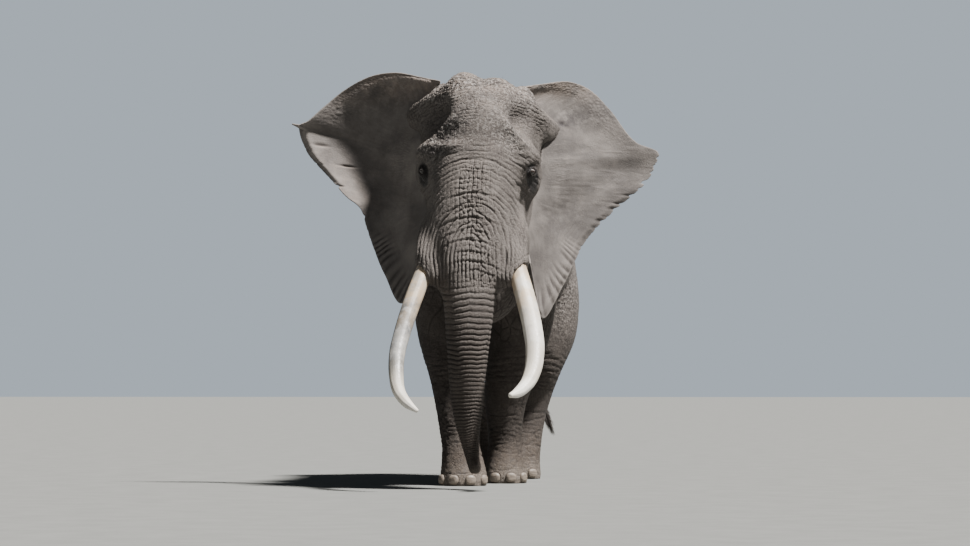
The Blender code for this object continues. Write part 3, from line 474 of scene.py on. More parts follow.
def sheet_solid(name, p, thick):
    """A closed solid of the given thickness about a grid of points."""
    nu, nv = p.shape[:2]
    du = np.gradient(p, axis=0)
    dv = np.gradient(p, axis=1)
    n = np.cross(du, dv)
    n /= np.maximum(np.linalg.norm(n, axis=2), 1e-9)[..., None]
    a, b = p + n * thick[..., None] / 2, p - n * thick[..., None] / 2
    verts = np.vstack([a.reshape(-1, 3), b.reshape(-1, 3)])
    k = nu * nv
    faces = []
    for i in range(nu - 1):
        for j in range(nv - 1):
            q = (i * nv + j, (i + 1) * nv + j, (i + 1) * nv + j + 1, i * nv + j + 1)
            faces.append(q)
            faces.append(tuple(k + x for x in reversed(q)))
    rim = [i * nv for i in range(nu)] + [(nu - 1) * nv + j for j in range(1, nv)] + [i * nv + nv - 1 for i in range(nu - 2, -1, -1)] + list(range(nv - 2, 0, -1))
    for x, y in zip(rim, rim[1:] + rim[:1]):
        faces.append((y, x, k + x, k + y))
    obj = mesh_object(name, verts, faces)
    facing_out(obj)
    return obj


def ear(side, nu=12, nv=40, name=None):
    p = ear_sheet(side, nu, nv)
    u = np.linspace(0, 1, nu)[:, None]
    v = np.linspace(0, 1, nv)[None]
    thick = 0.018 + 0.055 * (1 - u) ** 1.6 * np.clip(np.sin(math.pi * v), 0, 1) ** 0.6
    return sheet_solid(name or "ear_" + side, p, thick)


# ================================================================ noise
GRID = np.random.RandomState(11)
PERM = GRID.permutation(256).astype(np.int32)
PERM = np.concatenate([PERM, PERM, PERM])
GRAD = GRID.normal(size=(256, 3)).astype(np.float32)
GRAD /= np.linalg.norm(GRAD, axis=1)[:, None]
JITTER = GRID.rand(256, 3).astype(np.float32)


def noise(p, scale=1.0, seed=0):
    """Smooth noise of points, about -1 to 1; scale is in cycles per metre, one number or three."""
    q = (np.asarray(p) * np.asarray(scale) + seed * 17.31).astype(np.float32)
    i = np.floor(q).astype(np.int32)
    f = q - i
    w = f * f * f * (f * (f * 6 - 15) + 10)
    i &= 255
    out = np.zeros(len(q), np.float32)
    for dx in (0, 1):
        wx = w[:, 0] if dx else 1 - w[:, 0]
        for dy in (0, 1):
            wy = w[:, 1] if dy else 1 - w[:, 1]
            for dz in (0, 1):
                wz = w[:, 2] if dz else 1 - w[:, 2]
                h = PERM[PERM[PERM[i[:, 0] + dx] + i[:, 1] + dy] + i[:, 2] + dz]
                g = GRAD[h]
                out += wx * wy * wz * (g[:, 0] * (f[:, 0] - dx) + g[:, 1] * (f[:, 1] - dy) + g[:, 2] * (f[:, 2] - dz))
    return out * 1.6


def cells(p, scale=1.0, seed=0):
    """Distance to the border between scattered cells, 0 on the border, about 1 in the middle."""
    q = (np.asarray(p) * np.asarray(scale) + seed * 9.77).astype(np.float32)
    i = np.floor(q).astype(np.int32)
    f = q - i
    i &= 255
    f1 = np.full(len(q), 9.0, np.float32)
    f2 = np.full(len(q), 9.0, np.float32)
    for dx in (-1, 0, 1):
        for dy in (-1, 0, 1):
            for dz in (-1, 0, 1):
                h = PERM[PERM[PERM[(i[:, 0] + dx) & 255] + ((i[:, 1] + dy) & 255)] + ((i[:, 2] + dz) & 255)]
                j = JITTER[h]
                d = (j[:, 0] + dx - f[:, 0]) ** 2 + (j[:, 1] + dy - f[:, 1]) ** 2 + (j[:, 2] + dz - f[:, 2]) ** 2
                f2 = np.minimum(f2, np.maximum(f1, d))
                f1 = np.minimum(f1, d)
    return np.sqrt(f2) - np.sqrt(f1)


def valley(t, width):
    """1 on every whole number of t, falling to 0 within the width."""
    d = np.abs(t - np.round(t))
    return np.exp(-((d / width) ** 2))


# ================================================================ ears in fine detail
def sheet_between(name, a, b):
    """A closed solid between two grids of points."""
    nu, nv = a.shape[:2]
    k = nu * nv
    i, j = np.meshgrid(np.arange(nu - 1), np.arange(nv - 1), indexing="ij")
    q = np.stack([i * nv + j, (i + 1) * nv + j, (i + 1) * nv + j + 1, i * nv + j + 1], -1).reshape(-1, 4)
    faces = [tuple(x) for x in np.vstack([q, k + q[:, ::-1]]).tolist()]
    rim = [i * nv for i in range(nu)] + [(nu - 1) * nv + j for j in range(1, nv)] + [i * nv + nv - 1 for i in range(nu - 2, -1, -1)] + list(range(nv - 2, 0, -1))
    faces += [(y, x, k + x, k + y) for x, y in zip(rim, rim[1:] + rim[:1])]
    obj = mesh_object(name, np.vstack([a.reshape(-1, 3), b.reshape(-1, 3)]), faces)
    facing_out(obj)
    return obj


def ear_fine(side, nu, nv):
    """Closed sheet of one ear with its rolled rim, folds and torn edge."""
    s = 1 if side == "left" else -1
    k = np.linspace(0, 1, nv)
    v = k + 0.035 * np.sin(2 * math.pi * (k - 0.12))          # more rows along the outer and lower edge
    v = (v - v[0]) / (v[-1] - v[0])
    root = smooth_line(EAR_ROOT)(v) * (s, 1, 1)
    edge = smooth_line(EAR_MARGIN[side])(v)
    reach = np.linalg.norm(edge - root, axis=1)
    q = np.stack([v * 100, np.full(nv, 3.0 * s), np.zeros(nv)], 1)
    # the edge is worn: shallow scallops, nicks, and on the left ear torn notches below the tip
    lower = ramp(v, 0.46, 0.52) * (1 - ramp(v, 0.80, 0.88))
    nick = np.clip(noise(q, 1.1, 3), 0, 1) ** 1.5 * 0.020 + np.clip(noise(q, 2.7, 5), 0, 1) ** 2 * 0.012
    cut = (0.35 if side == "left" else 0.10) * nick + nick * lower * (1.6 if side == "left" else 0.35)
    if side == "left":
        for at, wide, deep in ((0.600, 0.0065, 0.050), (0.628, 0.004, 0.020), (0.655, 0.005, 0.030), (0.688, 0.004, 0.022),
                               (0.705, 0.006, 0.030), (0.742, 0.005, 0.026), (0.520, 0.004, 0.018), (0.545, 0.004, 0.020)):
            cut += deep * np.exp(-(((v - at) / wide) ** 2))
    else:
        for at, wide, deep in ((0.672, 0.004, 0.030), (0.60, 0.003, 0.010), (0.78, 0.004, 0.012)):
            cut += deep * np.exp(-(((v - at) / wide) ** 2))
        cut -= 0.075 * np.exp(-(((v - 0.498) / 0.004) ** 2))   # thorn of skin at the tip
    edge = edge - (edge - root) / reach[:, None] * cut[:, None]
    u = np.linspace(0, 1, nu) ** 0.92
    U, V = np.meshgrid(u, v, indexing="ij")
    p = root[None] * (1 - U[..., None]) + edge[None] * U[..., None]
    true = U * (1 - cut / reach)[None]                         # share of the uncut way, so that a nick doesn't dent the sheet
    p[..., 1] += np.sin(math.pi * true) * (0.055 + 0.05 * HOLLOW[side] ** 1.8 * np.sin(math.pi * V) ** 1.5)
    flat = np.stack([U.ravel() * 1.0, V.ravel() * 3.0, np.full(U.size, float(s))], 1)

    def n(su, sv, seed):
        return noise(flat, (su, sv, 1.0), seed).reshape(U.shape)

    # soft waves and the turned rims shape the sheet itself
    low = ramp(V, 0.40, 0.60)
    y = 0.022 * n(2.1, 2.6, 1) * np.sin(math.pi * np.clip(U, 0, 1)) + 0.018 * n(2.5, 3.5, 2) * U**2
    y += 0.0008 * np.cos(2 * math.pi * (V * 15 + 0.9 * n(1.6, 3, 8))) * ramp(U, 0.72, 1.0) * low
    rim = (1 - ramp(V, 0.30, 0.46)) * ramp(V, 0.0, 0.05)
    y += (0.060 if side == "right" else 0.018) * rim * ramp(U, 0.80, 1.0) ** 1.5
    if side == "right":
        y += 0.070 * ramp(U, 0.930, 1.0) ** 1.1 * ramp(V, 0.485, 0.51) * (1 - ramp(V, 0.60, 0.72))
    else:
        y += 0.028 * ramp(U, 0.90, 1.0) * ramp(V, 0.62, 0.70)
    p[..., 1] += y
    for _ in range(6):
        p[1:-1, 1:-1] = 0.5 * p[1:-1, 1:-1] + 0.125 * (p[:-2, 1:-1] + p[2:, 1:-1] + p[1:-1, :-2] + p[1:-1, 2:])
    out = np.cross(np.gradient(p, axis=0), np.gradient(p, axis=1))
    out /= np.maximum(np.linalg.norm(out, axis=2), 1e-9)[..., None]
    if out[nu // 2, nv // 2, 1] > 0:
        out = -out                                             # towards the front
    thick = 0.0125 + 0.006 * (1 - U) + 0.052 * (1 - U) ** 2.2 * np.clip(np.sin(math.pi * V), 0, 1) ** 0.6
    thick *= 1 - 0.30 * ramp(U, 0.97, 1.0)
    # relief of the two faces: folds that fan out to the edge, veins, and pleats by the head
    free = ramp(U, 0.06, 0.22) * (1 - 0.8 * ramp(U, 0.975, 1.0))
    fan = V * 30 + 1.3 * n(1.5, 3.0, 4) + 0.35 * n(6, 14, 14)
    fold = 0.0004 * (0.25 + 0.75 * low) * np.cos(2 * math.pi * fan / 1.3) * ramp(U, 0.35, 0.85) * (0.5 + 0.9 * n(3, 5, 6))
    crease = -0.0016 * valley(fan * 1.5 + 0.8 * n(3, 9, 7), 0.095) * ramp(U, 0.76, 0.96) * (0.10 + 0.90 * low) * np.clip(0.10 + 1.5 * n(4, 7, 9), 0, 1)
    vein = np.zeros_like(U)
    for seed, f in ((12, 7.0), (13, 11.0)):
        vein += 0.0006 * valley(V * f + 1.1 * n(1.6, 1.4, seed) + 0.15 * n(6, 8, seed + 2), 0.05) * ramp(U, 0.15, 0.35) * (1 - ramp(U, 0.70, 0.92))
    # hoops that run along the edge, as where the ear has creased
    hoops = -0.0014 * valley(U * 15 + 1.2 * n(2.5, 3.5, 16), 0.10) * ramp(U, 0.5, 0.7) * np.clip(-0.1 + 1.6 * n(2.0, 3.0, 17), 0, 1) * low
    # pebbled skin along the upper rim and by the head
    c = cells(np.stack([U.ravel() * 1.0, V.ravel() * 3.6, np.full(U.size, float(s))], 1) + 0.02 * noise(flat, 9, 21)[:, None], 26, 22).reshape(U.shape)
    rough_rim = np.clip(ramp(U, 0.66, 0.90) * (1 - ramp(V, 0.36, 0.50)) + 0.8 * (1 - ramp(U, 0.12, 0.40)) * (1 - ramp(V, 0.55, 0.75)), 0, 1)
    pebble = 0.0075 * (np.clip(c, 0, 0.5) - 0.22) * rough_rim
    lobe = ramp(V, 0.80, 0.86) * ramp(U, 0.62, 0.86)
    pleat = lobe * (0.0026 * np.cos(2 * math.pi * (V * 78 + 0.9 * n(2, 7, 20))) - 0.0030 * valley(V * 78 + 0.5 + 0.9 * n(2, 7, 20), 0.16)) * np.clip(0.75 + 0.7 * n(5, 5, 23), 0.2, 1.2)
    front = (fold + crease + vein + hoops + pleat + pebble + 0.0018 * n(9, 16, 18)) * free
    back = (-fold + 0.7 * crease + 1.4 * vein + 0.0030 * n(9, 16, 19)) * free
    if side == "right":
        for u0, v0, lu, lv, deep in ((0.86, 0.535, 0.060, 0.0040, 0.012), (0.72, 0.590, 0.070, 0.0050, 0.014)):
            front += -deep * np.exp(-(((U - u0) / lu) ** 2) - ((V - v0 - 0.04 * (U - u0)) / lv) ** 2)
    obj = sheet_between("ear", p + out * (thick / 2 + front)[..., None], p - out * (thick / 2 + back)[..., None])
    layer = obj.data.attributes.new("ear_u", "FLOAT", "POINT")
    layer.data.foreach_set("value", np.tile((U.ravel() + 1.0).astype(np.float32), 2))      # 1 at the root, 2 at the edge; 0 off the ear
    layer = obj.data.attributes.new("ear_v", "FLOAT", "POINT")
    layer.data.foreach_set("value", np.tile(V.ravel().astype(np.float32), 2))
    layer = obj.data.attributes.new("ear_back", "FLOAT", "POINT")
    layer.data.foreach_set("value", np.concatenate([np.zeros(U.size), np.ones(U.size)]).astype(np.float32))
    return obj


def united(skin, piece):
    m = skin.modifiers.new("Join", "BOOLEAN")
    m.operation = "UNION"
    m.object = piece
    m.solver = "MANIFOLD"
    applied(skin)
    bpy.data.objects.remove(piece, do_unlink=True)
    return skin


def attribute(obj, name):
    a = obj.data.attributes.get(name)
    out = np.zeros(len(obj.data.vertices), np.float32)
    if a is not None and a.domain == "POINT":
        a.data.foreach_get("value", out)
    return out


def set_attribute(obj, name, values):
    a = obj.data.attributes.get(name) or obj.data.attributes.new(name, "FLOAT", "POINT")
    a.data.foreach_set("value", np.ascontiguousarray(values, np.float32))


def split_faces(obj, chosen):
    """Halves the edges of the faces for which chosen(centres) is true."""
    bm = bmesh.new()
    bm.from_mesh(obj.data)
    c = np.array([f.calc_center_median()[:] for f in bm.faces])
    pick = chosen(c)
    edges = set()
    for f, yes in zip(bm.faces, pick):
        if yes:
            edges.update(f.edges)
    bmesh.ops.subdivide_edges(bm, edges=list(edges), cuts=1, use_grid_fill=True)
    bm.to_mesh(obj.data)
    bm.free()
    return obj


# ================================================================ the skin
skin = body(0.0215, 2.0, 27, "skin", tail=False)
log("body", len(skin.data.vertices))
co = points_of(skin)
m = skin.modifiers.new("Smooth", "SUBSURF")
m.levels = m.render_levels = 1
applied(skin)
log("subdivided", len(skin.data.vertices))
for side in ("left", "right"):
    united(skin, ear_fine(side, 96, 400))
log("ears joined", len(skin.data.vertices))
v, f = tube(TAIL, 36, 0.012)
piece = mesh_object("tail", v, f)
facing_out(piece)
united(skin, piece)
log("tail joined", len(skin.data.vertices))


def face_zone(c):
    """Front and sides of the head, and the trunk."""
    return ((c[:, 1] < -0.86) & (c[:, 2] > 1.62) & (np.abs(c[:, 0]) < 0.60) & (c[:, 1] < -0.70 - 0.16 * (3.5 - c[:, 2]))) | ((c[:, 1] < -1.28) & (c[:, 2] <= 1.75))


split_faces(skin, face_zone)
log("head split", len(skin.data.vertices), len(skin.data.polygons))


def eye_zone(reach):
    def chosen(c):
        out = np.zeros(len(c), bool)
        for e in EYES.values():
            out |= ((c - np.array(e)) ** 2).sum(1) < reach**2
        return out
    return chosen


split_faces(skin, eye_zone(0.125))
split_faces(skin, eye_zone(0.080))
log("eyes split", len(skin.data.vertices), len(skin.data.polygons))

co, edges = points_of(skin), edges_of(skin)
N = len(co)
ear_u = attribute(skin, "ear_u")
ear_v = attribute(skin, "ear_v")
print("ear verts", int((ear_u > 0.5).sum()), "range", float(ear_u.min()), float(ear_u.max()))

# where the ears and the tail meet the body the joint is worked smooth
total = np.zeros(len(skin.data.polygons), np.int32)
skin.data.polygons.foreach_get("loop_total", total)
loops = np.zeros(len(skin.data.loops), np.int32)
skin.data.loops.foreach_get("vertex_index", loops)
face_of_loop = np.repeat(np.arange(len(total)), total)
odd = np.zeros(N, np.float32)
odd[loops[(total != 4)[face_of_loop]]] = 1
odd *= (co[:, 1] > -1.10) & ((co[:, 1] < 0.2) | (co[:, 1] > 2.2)) & ((ear_u < 1.35))
for _ in range(5):
    spread = np.maximum(odd[edges[:, 0]], odd[edges[:, 1]]) * 0.86
    np.maximum.at(odd, edges[:, 0], spread)
    np.maximum.at(odd, edges[:, 1], spread)
seam = ramp(odd, 0.40, 0.95)
zone = face_zone(co).astype(float)
on_ear = ear_u > 0.5
weight = np.maximum(seam, zone * (~on_ear))
co = relax(co, edges, weight, 5)
co = relax(co, edges, seam, 8)
foot = near(np.abs(co) * (1, -1, 1), (0.440, -0.825, 2.36), (0.075, 0.14, 0.095))      # where the front edge of the ear leaves the cheek
co = relax(co, edges, ramp(foot, 0.20, 0.55), 30)
co[:, 2] = np.maximum(co[:, 2], 0.0)
set_points(skin, co)
log("joints smoothed")


# ================================================================ folds and wrinkles
def over(mask, function, cut=0.01):
    """Works function(index) out only where the mask counts, and returns it times the mask."""
    out = np.zeros(len(mask), np.float32)
    i = np.nonzero(mask > cut)[0]
    if len(i):
        out[i] = function(i) * mask[i]
    return out


def wavy(p, scale, amount, seed):
    """The points moved about by noise."""
    return p + amount * np.stack([noise(p, scale, seed + k) for k in range(3)], 1)


def lines(p, scale, seed, width):
    """Long wandering lines: 1 on a line, 0 away from it."""
    return np.exp(-((noise(p, scale, seed) / width) ** 2))


X, Y, Z = co.T
off_ear = 1.0 - np.clip(ear_u, 0, 1)
mid = X - HEAD_ROLL * (Z - 2.35) * ramp(-Y, 0.45, 0.95) * ramp(Z, 1.55, 1.95)      # sideways distance from the leaning midline
warp = np.stack([noise(co, 2.3, 21), noise(co, 2.3, 22), noise(co, 2.3, 23)], 1)
warp2 = np.stack([noise(co, 9.0, 24), noise(co, 9.0, 25), noise(co, 9.0, 26)], 1)
flow = co + 0.035 * warp + 0.010 * warp2
log("warps")

# where along the trunk each point is
line, trunk_length = along(PROBOSCIS)
steps = np.linspace(0, trunk_length, 1400)
centre = line(steps)
spacing = np.interp(centre[:, 2], [0.05, 0.20, 0.40, 0.70, 1.00, 1.30, 1.60, 2.0, 3.2],
                    [0.017, 0.018, 0.023, 0.030, 0.037, 0.045, 0.054, 0.060, 0.062])
phase = np.concatenate([[0], np.cumsum(np.diff(steps) / (0.5 * (spacing[1:] + spacing[:-1])))])
tree = KDTree(len(steps))
for k, c in enumerate(centre[:, :3]):
    tree.insert(c, k)
tree.balance()
trunk = (1 - ramp(Z, 1.54, 1.76)) * (Y < -1.30) * off_ear
at = np.zeros(N)
turn = np.zeros(N)
thick = np.ones(N)
i = np.nonzero((trunk > 0) | ((Y < -1.30) & (Z < 2.0)))[0]
near_line = centre[np.clip(np.interp(-Z[i], -centre[::1, 2], np.arange(len(steps))), 0, len(steps) - 1).astype(int)] if False else None
tip = Z[i] < 0.55
where = np.interp(-Z[i], -centre[:, 2][:np.argmin(centre[:, 2])], np.arange(np.argmin(centre[:, 2])))
low = np.nonzero(tip)[0]
for k in low:
    where[k] = tree.find(co[i[k]])[1]
where = where.astype(int)
at[i] = phase[where]
turn[i] = np.arctan2(X[i] - centre[where, 0], -(Y[i] - centre[where, 1]))
thick[i] = centre[where, 3]
log("trunk measured", len(i), len(low))


def trunk_rings(i):
    q = np.stack([np.sin(turn[i]) * 1.2, np.cos(turn[i]) * 1.2, at[i] * 0.10], 1)
    t = at[i] + 0.42 * noise(q, 1.0, 31) + 0.16 * noise(q, (2.6, 2.6, 3.0), 32) + 0.05 * noise(co[i], 28, 33)
    ring = np.floor(t + 0.5)                                   # the groove that is nearest
    d = t - ring
    deep = 0.62 + 0.38 * np.sin(ring * 12.9898 + 4.1) + 0.30 * noise(np.stack([np.sin(turn[i]), np.cos(turn[i]), ring * 0.37], 1), 1.6, 34)
    deep = np.clip(deep, 0.18, 1.15)
    size = np.interp(Z[i], [0.1, 0.5, 1.0, 1.6], [0.0045, 0.0062, 0.0088, 0.0105])
    h = -deep * np.exp(-((d / 0.135) ** 2)) * 1.0
    h += 0.30 * np.cos(2 * math.pi * (t - 0.5)) * 0.8
    half = t * 2.0 + 1.0 + 0.5 * noise(q, (2.0, 2.0, 2.4), 35)
    h += -0.30 * valley(half, 0.16) * np.clip(0.4 + 1.6 * noise(q, (1.7, 1.7, 2.0), 36), 0, 1)
    # short creases across each roll
    row = np.floor(t)
    across = turn[i] * thick[i] / 0.021 + 7.7 * np.sin(row * 78.233) + 0.9 * noise(co[i], 22, 37)
    h += -0.26 * valley(across, 0.17) * (0.35 + 0.65 * np.cos(2 * math.pi * (t - 0.5)) ** 2) * np.clip(0.7 + noise(co[i], 7, 38), 0, 1.2)
    return h * size


height = over(trunk, trunk_rings)
log("rings")

# the face: creases draped over the trunk's root, long furrows down its middle
skin_of_head = off_ear * ramp(-Y, 0.62, 0.90) * ramp(Z, 1.55, 1.80)
face = off_ear * ramp(-Y, 0.92, 1.15) * ramp(Z, 1.46, 1.68) * (1 - ramp(Z, 2.72, 2.92))
face *= ramp(-Y, 1.02, 1.20) * 1.0


def draped(i):
    x, z = mid[i], Z[i]
    a = np.abs(x)
    p = co[i]
    over_ = 0.5 * ((z - 2.02) + np.sqrt((z - 2.02) ** 2 + 0.12**2))      # arches above, upright lines below
    f = np.hypot(a, 0.85 * over_) + 0.024 * noise(p, 2.6, 41) + 0.009 * noise(p, 9, 42) + 0.003 * noise(p, 24, 40)
    lowdown = 1 - ramp(z, 2.05, 2.65)
    step = 0.0335
    t = f / step
    k = np.floor(t + 0.5)
    q = np.stack([x * 9, k * 0.77, z * 9], 1)
    deep = np.clip(0.50 + 1.10 * noise(q, 1.0, 43) + 0.25 * np.sin(k * 9.17), 0.0, 1.25)
    h = -deep * np.exp(-(((t - k) / 0.18) ** 2)) * (0.0054 + 0.0054 * lowdown)
    h += 0.0008 * np.cos(2 * math.pi * (t - 0.5)) * (0.5 + lowdown)
    # larger folds between the eyes and the tusks
    f2 = z + 1.25 * a**2 + 0.016 * noise(p, 3.5, 44) + 0.006 * noise(p, 14, 50)
    for level, depth in ((2.735, 0.0075), (2.625, 0.005), (2.452, 0.008), (2.335, 0.004), (2.242, 0.009), (2.135, 0.006), (2.055, 0.008), (1.955, 0.007), (1.872, 0.009), (1.79, 0.008)):
        wide = 0.0105
        gone = (1 - ramp(a, 0.10, 0.34)) * np.clip(0.75 + 0.9 * noise(p, 5, 53 + int(level * 100)), 0.15, 1.1)
        h += -depth * np.exp(-(((f2 - level) / wide) ** 2)) * gone
        h += 0.45 * depth * np.exp(-(((f2 - level - 0.020) / 0.016) ** 2)) * gone
    return h


def furrows(i):
    x, z = mid[i], Z[i]
    p = co[i]
    # upright folds, none of them long or quite straight
    t = (x + 0.016 * noise(p, (1.5, 1.5, 3.2), 45) + 0.006 * noise(p, (7, 7, 13.0), 46)) / 0.036
    k = np.floor(t + 0.5)
    q = np.stack([k * 3.7, z * 5.0, z * 0], 1)
    deep = np.clip(0.60 + 1.35 * noise(q, 1.0, 47), 0.0, 1.4)
    drift = -0.01 + 0.09 * ramp(-z, -2.35, -2.0)               # the furrowed band leans to the animal's left lower down
    middle = np.exp(-((x - drift) / 0.135) ** 2)
    h = -deep * np.exp(-(((t - k) / 0.17) ** 2)) * (0.0018 + 0.0125 * middle)
    h += 0.0030 * np.cos(2 * math.pi * (t - k)) * middle * ramp(deep, 0.2, 0.8)
    # blocks of skin between the folds, taller than wide
    c = cells(p + 0.010 * warp[i] + 0.006 * warp2[i], (24, 14, 15), 48)
    h += -0.0075 * np.exp(-((c / 0.13) ** 2)) * middle + 0.0045 * (np.clip(c, 0, 0.6) - 0.3) * middle
    return h


height += over(face * (1 - trunk), draped)
height += over(face * (1 - trunk) * (1 - ramp(np.abs(mid), 0.22, 0.36)) * (1 - ramp(Z, 2.60, 2.78)), furrows)
log("face")

# the sheath of each tusk and the lips: lines that run down and outwards
lip = off_ear * near(np.abs(co) * (1, -1, 1), (0.40, -1.52, 1.94), (0.13, 0.30, 0.26))


def lip_lines(i):
    p = flow[i]
    s = np.sign(X[i])
    t = (X[i] * s * 1.0 + 0.35 * (Z[i] - 2.0) * 0.5 + 0.55 * (Y[i] + 1.5) + 0.010 * noise(p, 5, 51)) / 0.030
    k = np.floor(t + 0.5)
    deep = np.clip(0.65 + 0.8 * noise(np.stack([k * 1.9 + 5 * s, Z[i] * 7, Z[i] * 0], 1), 1.0, 52), 0, 1.2)
    h = -deep * np.exp(-(((t - k) / 0.18) ** 2)) * 0.0065
    return h


height += over(lip, lip_lines)

# network of creases over head, body and legs
head = off_ear * ramp(-Y, 0.45, 0.80) * ramp(Z, 1.55, 1.85)
legs = off_ear * (1 - ramp(Z, 1.05, 1.45)) * (Y > -1.2)
torso_part = np.clip(off_ear - head - legs - trunk, 0, 1)


def network(i, scale, seed, width, soft=0.0):
    c = cells(flow[i], scale, seed)
    return np.exp(-((c / width) ** 2)) - soft * np.clip(c, 0, 0.8)


def patch(i, scale, seed, lo=0.2, hi=0.9):
    return np.clip(0.55 + 0.9 * noise(co[i], scale, seed), lo, hi + 0.3)


height += over(head * (1 - 0.55 * face), lambda i: -0.0046 * network(i, (17, 17, 25), 61, 0.12, 0.30) * patch(i, 3.1, 62))
log("head network")
height += over(torso_part, lambda i: -0.0052 * network(i, (11, 15, 10), 63, 0.12, 0.30) * patch(i, 1.9, 64))
height += over(legs, lambda i: -0.0050 * network(i, (13, 13, 21), 65, 0.13, 0.25) * patch(i, 2.4, 66))
log("body network")
# finer mesh of lines where the skin is finely divided
fine = head * ramp(-Y, 0.86, 1.0)
height += over(fine, lambda i: -0.0024 * network(i, (42, 42, 52), 67, 0.16, 0.2) * patch(i, 5, 68))
log("fine network")

# long folds on the body: down the sides, round the leg joints, along the neck
height += over(torso_part, lambda i: -0.0070 * lines(co[i] + 0.05 * warp[i], (2.2, 7.5, 1.6), 71, 0.055) * patch(i, 1.2, 72))
height += over(legs, lambda i: -0.0060 * lines(co[i] + 0.02 * warp[i], (2.0, 2.0, 8.5), 73, 0.065) * patch(i, 2.0, 74))
neck = off_ear * np.exp(-((Y + 0.30) / 0.45) ** 2) * ramp(Z, 1.7, 2.0) * (1 - head)
height += over(neck, lambda i: -0.012 * lines(co[i] + 0.03 * warp[i], (1.5, 9.0, 2.0), 75, 0.07) * patch(i, 2.0, 76))


def joint_folds(i):
    h = np.zeros(len(i), np.float32)
    for (x, y, z), reach, step, deep in JOINT_FOLDS:
        w = near(co[i], (x, y, z), reach)
        t = (Z[i] + 0.25 * (Y[i] - y) + 0.012 * noise(co[i], 5, 77)) / step
        h += -0.7 * deep * w * valley(t, 0.16)
    return h


JOINT_FOLDS = [((-0.290, -0.36, 1.00), (0.30, 0.30, 0.16), 0.050, 0.007), ((0.222, 0.10, 0.97), (0.30, 0.30, 0.16), 0.050, 0.007),
               ((-0.190, -0.58, 0.44), (0.25, 0.30, 0.13), 0.036, 0.006), ((0.148, 0.18, 0.44), (0.25, 0.30, 0.13), 0.036, 0.006),
               ((0.38, 1.60, 1.02), (0.30, 0.30, 0.16), 0.048, 0.007), ((-0.37, 1.95, 1.02), (0.30, 0.30, 0.16), 0.048, 0.007),
               ((0.25, 1.70, 0.42), (0.25, 0.30, 0.14), 0.036, 0.005), ((-0.24, 2.2, 0.42), (0.25, 0.30, 0.14), 0.036, 0.005),
               ((0.62, -0.45, 1.80), (0.20, 0.30, 0.25), 0.045, 0.010), ((-0.62, -0.45, 1.80), (0.20, 0.30, 0.25), 0.045, 0.010)]
height += over(off_ear * (1 - trunk) * (1 - head), joint_folds)
log("long folds")


# the top of the head: brow creases, pebbled ridges, folds that run out to the ears
def brow(i):
    x, z, p = mid[i], Z[i], co[i]
    a = np.abs(x)
    h = np.zeros(len(i), np.float32)
    f = z - 0.35 * a**2 + 0.012 * noise(p, 5, 81)
    for level, depth, reach in ((2.845, 0.008, 0.30), (2.815, 0.006, 0.24), (2.885, 0.005, 0.34), (2.94, 0.004, 0.26), (3.02, 0.003, 0.3), (3.10, 0.003, 0.25)):
        h += -0.55 * depth * np.exp(-(((f - level) / 0.007) ** 2)) * (1 - ramp(a, reach * 0.3, reach)) * np.clip(0.15 + 1.7 * noise(p, 5, 82 + int(level * 100)), 0, 1)
    return h


height += over(skin_of_head * ramp(-Y, 1.0, 1.2) * ramp(Z, 2.7, 2.8), brow)


def crown_lines(i):
    """Fine creases that run across the crown and down over the temples."""
    x, z, p = mid[i], Z[i], co[i]
    t = (z - 0.10 * Y[i] + 0.55 * x**2 + 0.026 * noise(p, 3.2, 78) + 0.007 * noise(p, 13, 79)) / 0.026
    return -0.0036 * valley(t, 0.20) * np.clip(0.35 + 1.5 * noise(np.stack([x * 5, np.floor(t + 0.5) * 0.7, z * 2], 1), 1.0, 80), 0, 1.2)


height += over(skin_of_head * ramp(Z, 2.98, 3.14) * (1 - 0.4 * ramp(Z, 3.36, 3.46)), crown_lines)


def pebbles(i):
    c = cells(flow[i], (34, 34, 40), 83)
    return 0.0100 * (np.clip(c, 0, 0.50) - 0.22) + 0.0050 * noise(co[i], 17, 84)


rough = near(co, (-0.32, -1.36, 2.93), (0.17, 0.22, 0.17)) * 1.1 + 0.5 * near(co, (0.34, -1.36, 2.93), (0.13, 0.2, 0.15))
rough += 1.0 * near(co, (-0.36, -0.92, 3.36), (0.20, 0.30, 0.12)) + 0.9 * near(co, (0.42, -0.85, 3.32), (0.18, 0.30, 0.13))
rough += 0.8 * near(co, (0.0, -1.10, 3.40), (0.35, 0.20, 0.12)) + 0.5 * near(co, (0.0, -1.35, 3.05), (0.35, 0.2, 0.25))
height += over(np.clip(rough, 0, 1.2) * off_ear, pebbles)


flank = near(co, (0.62, 1.48, 1.62), (0.30, 0.55, 0.34)) + 0.6 * near(co, (-0.62, 1.7, 1.7), (0.30, 0.6, 0.4)) + 0.5 * near(co, (0.60, 0.0, 1.9), (0.25, 0.4, 0.4))


def nodules(i):
    """Skin of the flank, drawn up into rounded knobs."""
    c = cells(flow[i], (27, 27, 31), 88)
    return 0.0125 * (np.clip(c, 0, 0.55) - 0.24) + 0.004 * noise(co[i], 14, 89)


height += over(np.clip(flank, 0, 1) * off_ear * np.clip(0.65 + 0.8 * noise(co, 2.2, 90), 0, 1), nodules)


def crown_folds(i):
    """Folds over the top of the temple, running out and down to the ear."""
    s = np.abs(X[i])
    t = (Z[i] + 0.55 * (s - 0.4) + 0.020 * noise(co[i], 4, 85) + 0.006 * noise(co[i], 14, 86)) / 0.034
    return -0.0060 * valley(t, 0.17) * np.clip(0.7 + noise(co[i], 5, 87), 0, 1.2)


height += over(off_ear * np.clip(near(np.abs(co) * (1, -1, 1), (0.50, -0.80, 3.26), (0.17, 0.30, 0.17)), 0, 1), crown_folds)
log("top of the head")



